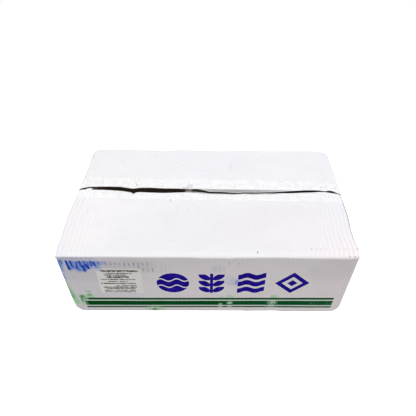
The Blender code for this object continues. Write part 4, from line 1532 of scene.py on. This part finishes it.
def film_finish(tape, name, with_slit):
    """Clear film with small bubbles. Over the slit, a hazy grey paints the gap's shade, apart from the
    opening, painted dark.
    """
    paint = Finish(name)
    x, y = paint.x, paint.y
    lumps = paint.noise(1.9, 3.0, stretch=(1.5, 1.0, 1.0))
    patches = paint.noise(15.0, 2.0, shift=4.0)
    bubbles = lumps.rise(0.50, 0.74) * patches.rise(0.36, 0.60)
    colour = paint.mix(tuple(tape.colour), tuple(tape.bubble_colour), bubbles)
    cover = bubbles * 0.12 + (patches - 0.5) * 0.10 + tape.cover
    if with_slit:
        on_top = paint.z.over(FILM_MARKS_FROM)
        gap, core, dark = paint.split(paint.attribute("gap"))
        over_gap = gap.inside(0.4)
        opening = core.inside(0.7) * dark
        # Over the gap the film is a hazy grey that paints the shade of the gap under it
        grey = x.curve(SHADED_VEIL)
        grey = grey + core.rise(2.6, 0.5) * x.rise(-16.0, 0.0) * 0.14
        shaded_veil = paint.shade(paint.join(grey, grey, grey), lumps * 0.4 + 0.80)
        # Over the opening the film is painted dark brown as shade of the slit, and made nearly clear
        rust = paint.noise(1.2, 2.0, stretch=(1.3, 1.0, 1.0), shift=12.0).rise(0.40, 0.64)
        opening_shade = paint.mix((0.008, 0.005, 0.004), (0.110, 0.070, 0.040), rust * x.rise(60.0, -20.0))
        colour = paint.mix(colour, paint.mix(shaded_veil, opening_shade, opening), over_gap)
        cover = cover + over_gap * (opening * -0.83 + 0.95 - cover)
        # The thin crease line is painted shade on the film
        crease = (abs(y - x.curve(CREASE)) - 1.0).inside(1.2) * x.curve(CREASE_SHADE) * on_top
        colour = paint.mix(colour, (0.30, 0.29, 0.29), crease)
        cover = cover.high(crease * 0.7)
        # Crumples get painted highlights, and the dark gaps painted shade
        for *ends, thick, tone, strength in CRUMPLES:
            far = stroke_distance(x, y, *ends) + (lumps - 0.5) * 1.6
            spot = (far - thick / 2).inside(0.9) * on_top
            colour = paint.mix(colour, (tone, tone, tone), spot)
            cover = cover + spot * strength * (1.0 + cover * -1.0)
        smudge = patch(x, y, (-32.0, 19.5), (6.0, 9.0), lumps, 1.0) * on_top
        colour = paint.mix(colour, (0.46, 0.45, 0.45), smudge * 0.5)
        cover = cover.high(smudge * 0.42)
    roughness = patches * 0.2 + (tape.roughness - 0.05)
    return paint.finish(colour, roughness, lumps, 0.0001, alpha=cover, shine=0.3)


def label_finish(label):
    """Off-white paper with rows of plain bars, broken into short lengths."""
    paint = Finish("label_paper")
    over, up = paint.x, paint.z
    grain = paint.noise(0.9, 2.0)
    stain = paint.noise(14.0, 2.0, shift=2.0)
    colour = paint.mix(tuple(label.paper_colour), tuple(label.stain_colour), stain.rise(0.4, 0.8) * 0.5)
    letters = paint.noise(1.5, 2.0, stretch=(1.0, 1.0, 1.7), shift=6.0)
    gaps = paint.noise(5.0, 1.0, stretch=(1.0, 1.0, 0.6), shift=8.0)
    words = letters.rise(0.30, 0.52) * gaps.rise(0.30, 0.36)
    for height, start, stop, thick, strength in LABEL_BARS:
        bar = box_distance(over, up, start, stop, height - thick / 2, height + thick / 2).inside(1.0)
        colour = paint.mix(colour, tuple(label.bar_colour), bar * words * strength)
    tint = patch(over, up, (3.0, 56.5), (7.0, 3.0), grain, 1.0)
    colour = paint.mix(colour, (0.30, 0.45, 0.72), tint * 0.45)
    colour = paint.shade(colour, grain * 0.05 + 0.975)
    return paint.finish(colour, 0.65, grain, 0.00003)


# ---------------------------------------------------------------- stage


def lay_floor(scene, stage):
    """A pale floor that darkens far off, and that glows where the camera sees it."""
    paint = Finish("pale_floor")
    tree = paint.tree
    place = add_node(tree, "ShaderNodeNewGeometry", {}).outputs["Position"]
    far = add_node(tree, "ShaderNodeVectorMath", {0: place}, operation="LENGTH")
    fade = Field(tree, far.outputs["Value"]).rise(*FLOOR_FADE)
    seen = Field(tree, add_node(tree, "ShaderNodeLightPath", {}).outputs["Is Camera Ray"])
    feed(tree, paint.shader, {"Emission Strength": seen * stage.floor_glow, "Emission Color": WHITE})
    mesh = bpy.data.meshes.new("floor")
    corners = [(x * FLOOR_REACH, y * FLOOR_REACH, 0) for x, y in ((-1, -1), (1, -1), (1, 1), (-1, 1))]
    mesh.from_pydata(corners, [], [(0, 1, 2, 3)])
    mesh.materials.append(paint.finish(paint.mix(FLOOR_NEAR_COLOUR, FLOOR_FAR_COLOUR, fade), 1.0, shine=0.0))
    floor = bpy.data.objects.new("floor", mesh)
    floor.location.z = -FLOOR_DROP
    scene.collection.objects.link(floor)


def hang_light(scene, stage, name, setting, width, place, aim):
    lamp = bpy.data.lights.new(name, "AREA")
    lamp.shape = "DISK"
    lamp.size = width
    lamp.energy = getattr(stage, setting)
    item = bpy.data.objects.new(name, lamp)
    item.location = place
    item.rotation_euler = (Vector(aim) - Vector(place)).to_track_quat("-Z", "Y").to_euler()
    scene.collection.objects.link(item)


def studio_world(stage):
    """White where the camera looks past the floor, and a weak white light on everything else."""
    world = bpy.data.worlds.new("studio")
    world.use_nodes = True
    tree = world.node_tree
    seen = add_node(tree, "ShaderNodeLightPath", {}).outputs["Is Camera Ray"]
    strength = add_node(tree, "ShaderNodeMix", {0: seen, 2: stage.sky, 3: 1.0}).outputs[0]
    feed(tree, tree.nodes["Background"], {"Color": WHITE, "Strength": strength})
    return world


# ---------------------------------------------------------------- operators


class CARTON_OT_board(bpy.types.Operator):
    """Build the printed board of the carton, with the fluting in its slit"""

    bl_idname = "carton.board"
    bl_label = "Board and fluting"
    bl_options = {"REGISTER", "UNDO"}

    def execute(self, context):
        board, ink = context.scene.carton_board, context.scene.carton_print
        form = Form(board)
        finishes = [LinerFinish(board, ink).build(), cut_finish(board), inside_shade_finish(board)]
        place_piece("carton_shell", CartonMesh(form).build(), finishes, "carton")
        paper = fluting_finish()
        place_piece("flute_medium", fluting_mesh(form, board, paper), [paper])
        return {"FINISHED"}


class CARTON_OT_tapes(bpy.types.Operator):
    """Lay the clear tape over the slit and under the base"""

    bl_idname = "carton.tapes"
    bl_label = "Tapes"
    bl_options = {"REGISTER", "UNDO"}

    def execute(self, context):
        tape = context.scene.carton_tape
        form = Form(context.scene.carton_board)
        upper = film_finish(tape, "clear_film_top", True)
        lower = film_finish(tape, "clear_film_base", False)
        over = place_piece("tape_film_top", top_film_mesh(form, tape), [upper], "tape_top")
        under = place_piece("tape_film_base", base_film_mesh(form, tape), [lower], "tape_base")
        for film in (over, under):
            film.visible_shadow = film.visible_diffuse = False
        return {"FINISHED"}


class CARTON_OT_label(bpy.types.Operator):
    """Stick the paper label on the front wall"""

    bl_idname = "carton.label"
    bl_label = "Label"
    bl_options = {"REGISTER", "UNDO"}

    def execute(self, context):
        label = context.scene.carton_label
        form = Form(context.scene.carton_board)
        place_piece("label_sheet", label_mesh(form, label), [label_finish(label)], "label")
        return {"FINISHED"}


class CARTON_OT_stage(bpy.types.Operator):
    """Set up the pale floor, the soft lights and the camera"""

    bl_idname = "carton.stage"
    bl_label = "Stage"
    bl_options = {"REGISTER", "UNDO"}

    def execute(self, context):
        scene, stage = context.scene, context.scene.carton_stage
        lay_floor(scene, stage)
        for light in LIGHTS:
            hang_light(scene, stage, *light)
        scene.world = studio_world(stage)
        scene.view_settings.view_transform = "Standard"
        scene.view_settings.look = "None"
        camera = bpy.data.cameras.new("camera")
        camera.sensor_width = CAMERA_SENSOR
        camera.lens = stage.lens
        eye = bpy.data.objects.new("camera", camera)
        eye.location = CAMERA_PLACE
        eye.rotation_euler = Euler([math.radians(angle) for angle in CAMERA_TURN])
        scene.collection.objects.link(eye)
        scene.camera = eye
        return {"FINISHED"}


class CARTON_PT_panel(bpy.types.Panel):
    """Sizes, colours and build steps of the carton"""

    bl_idname = "CARTON_PT_panel"
    bl_label = "Taped carton"
    bl_space_type = "VIEW_3D"
    bl_region_type = "UI"
    bl_category = "Carton"

    def draw(self, context):
        for name, title, _, operator in PARTS:
            box = self.layout.box()
            box.label(text=title)
            settings = getattr(context.scene, name)
            for key in settings.__annotations__:
                box.prop(settings, key)
            if operator:
                box.operator(operator)


# Each group of settings: name on the scene, title, class and the operator that uses it
PARTS = (
    ("carton_board", "Board", BoardSettings, "carton.board"),
    ("carton_print", "Print and dirt", PrintSettings, None),
    ("carton_tape", "Tape", TapeSettings, "carton.tapes"),
    ("carton_label", "Label", LabelSettings, "carton.label"),
    ("carton_stage", "Stage", StageSettings, "carton.stage"),
)
CLASSES = (
    *(part[2] for part in PARTS),
    CARTON_OT_board,
    CARTON_OT_tapes,
    CARTON_OT_label,
    CARTON_OT_stage,
    CARTON_PT_panel,
)


def register():
    for item in CLASSES:
        bpy.utils.register_class(item)
    for name, _, group, _ in PARTS:
        setattr(bpy.types.Scene, name, PointerProperty(type=group))


def unregister():
    for part in PARTS:
        delattr(bpy.types.Scene, part[0])
    for item in reversed(CLASSES):
        bpy.utils.unregister_class(item)


def main():
    register()
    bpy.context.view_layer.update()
    bpy.ops.carton.board()
    bpy.ops.carton.tapes()
    bpy.ops.carton.label()
    bpy.ops.carton.stage()


if __name__ == "__main__":
    main()
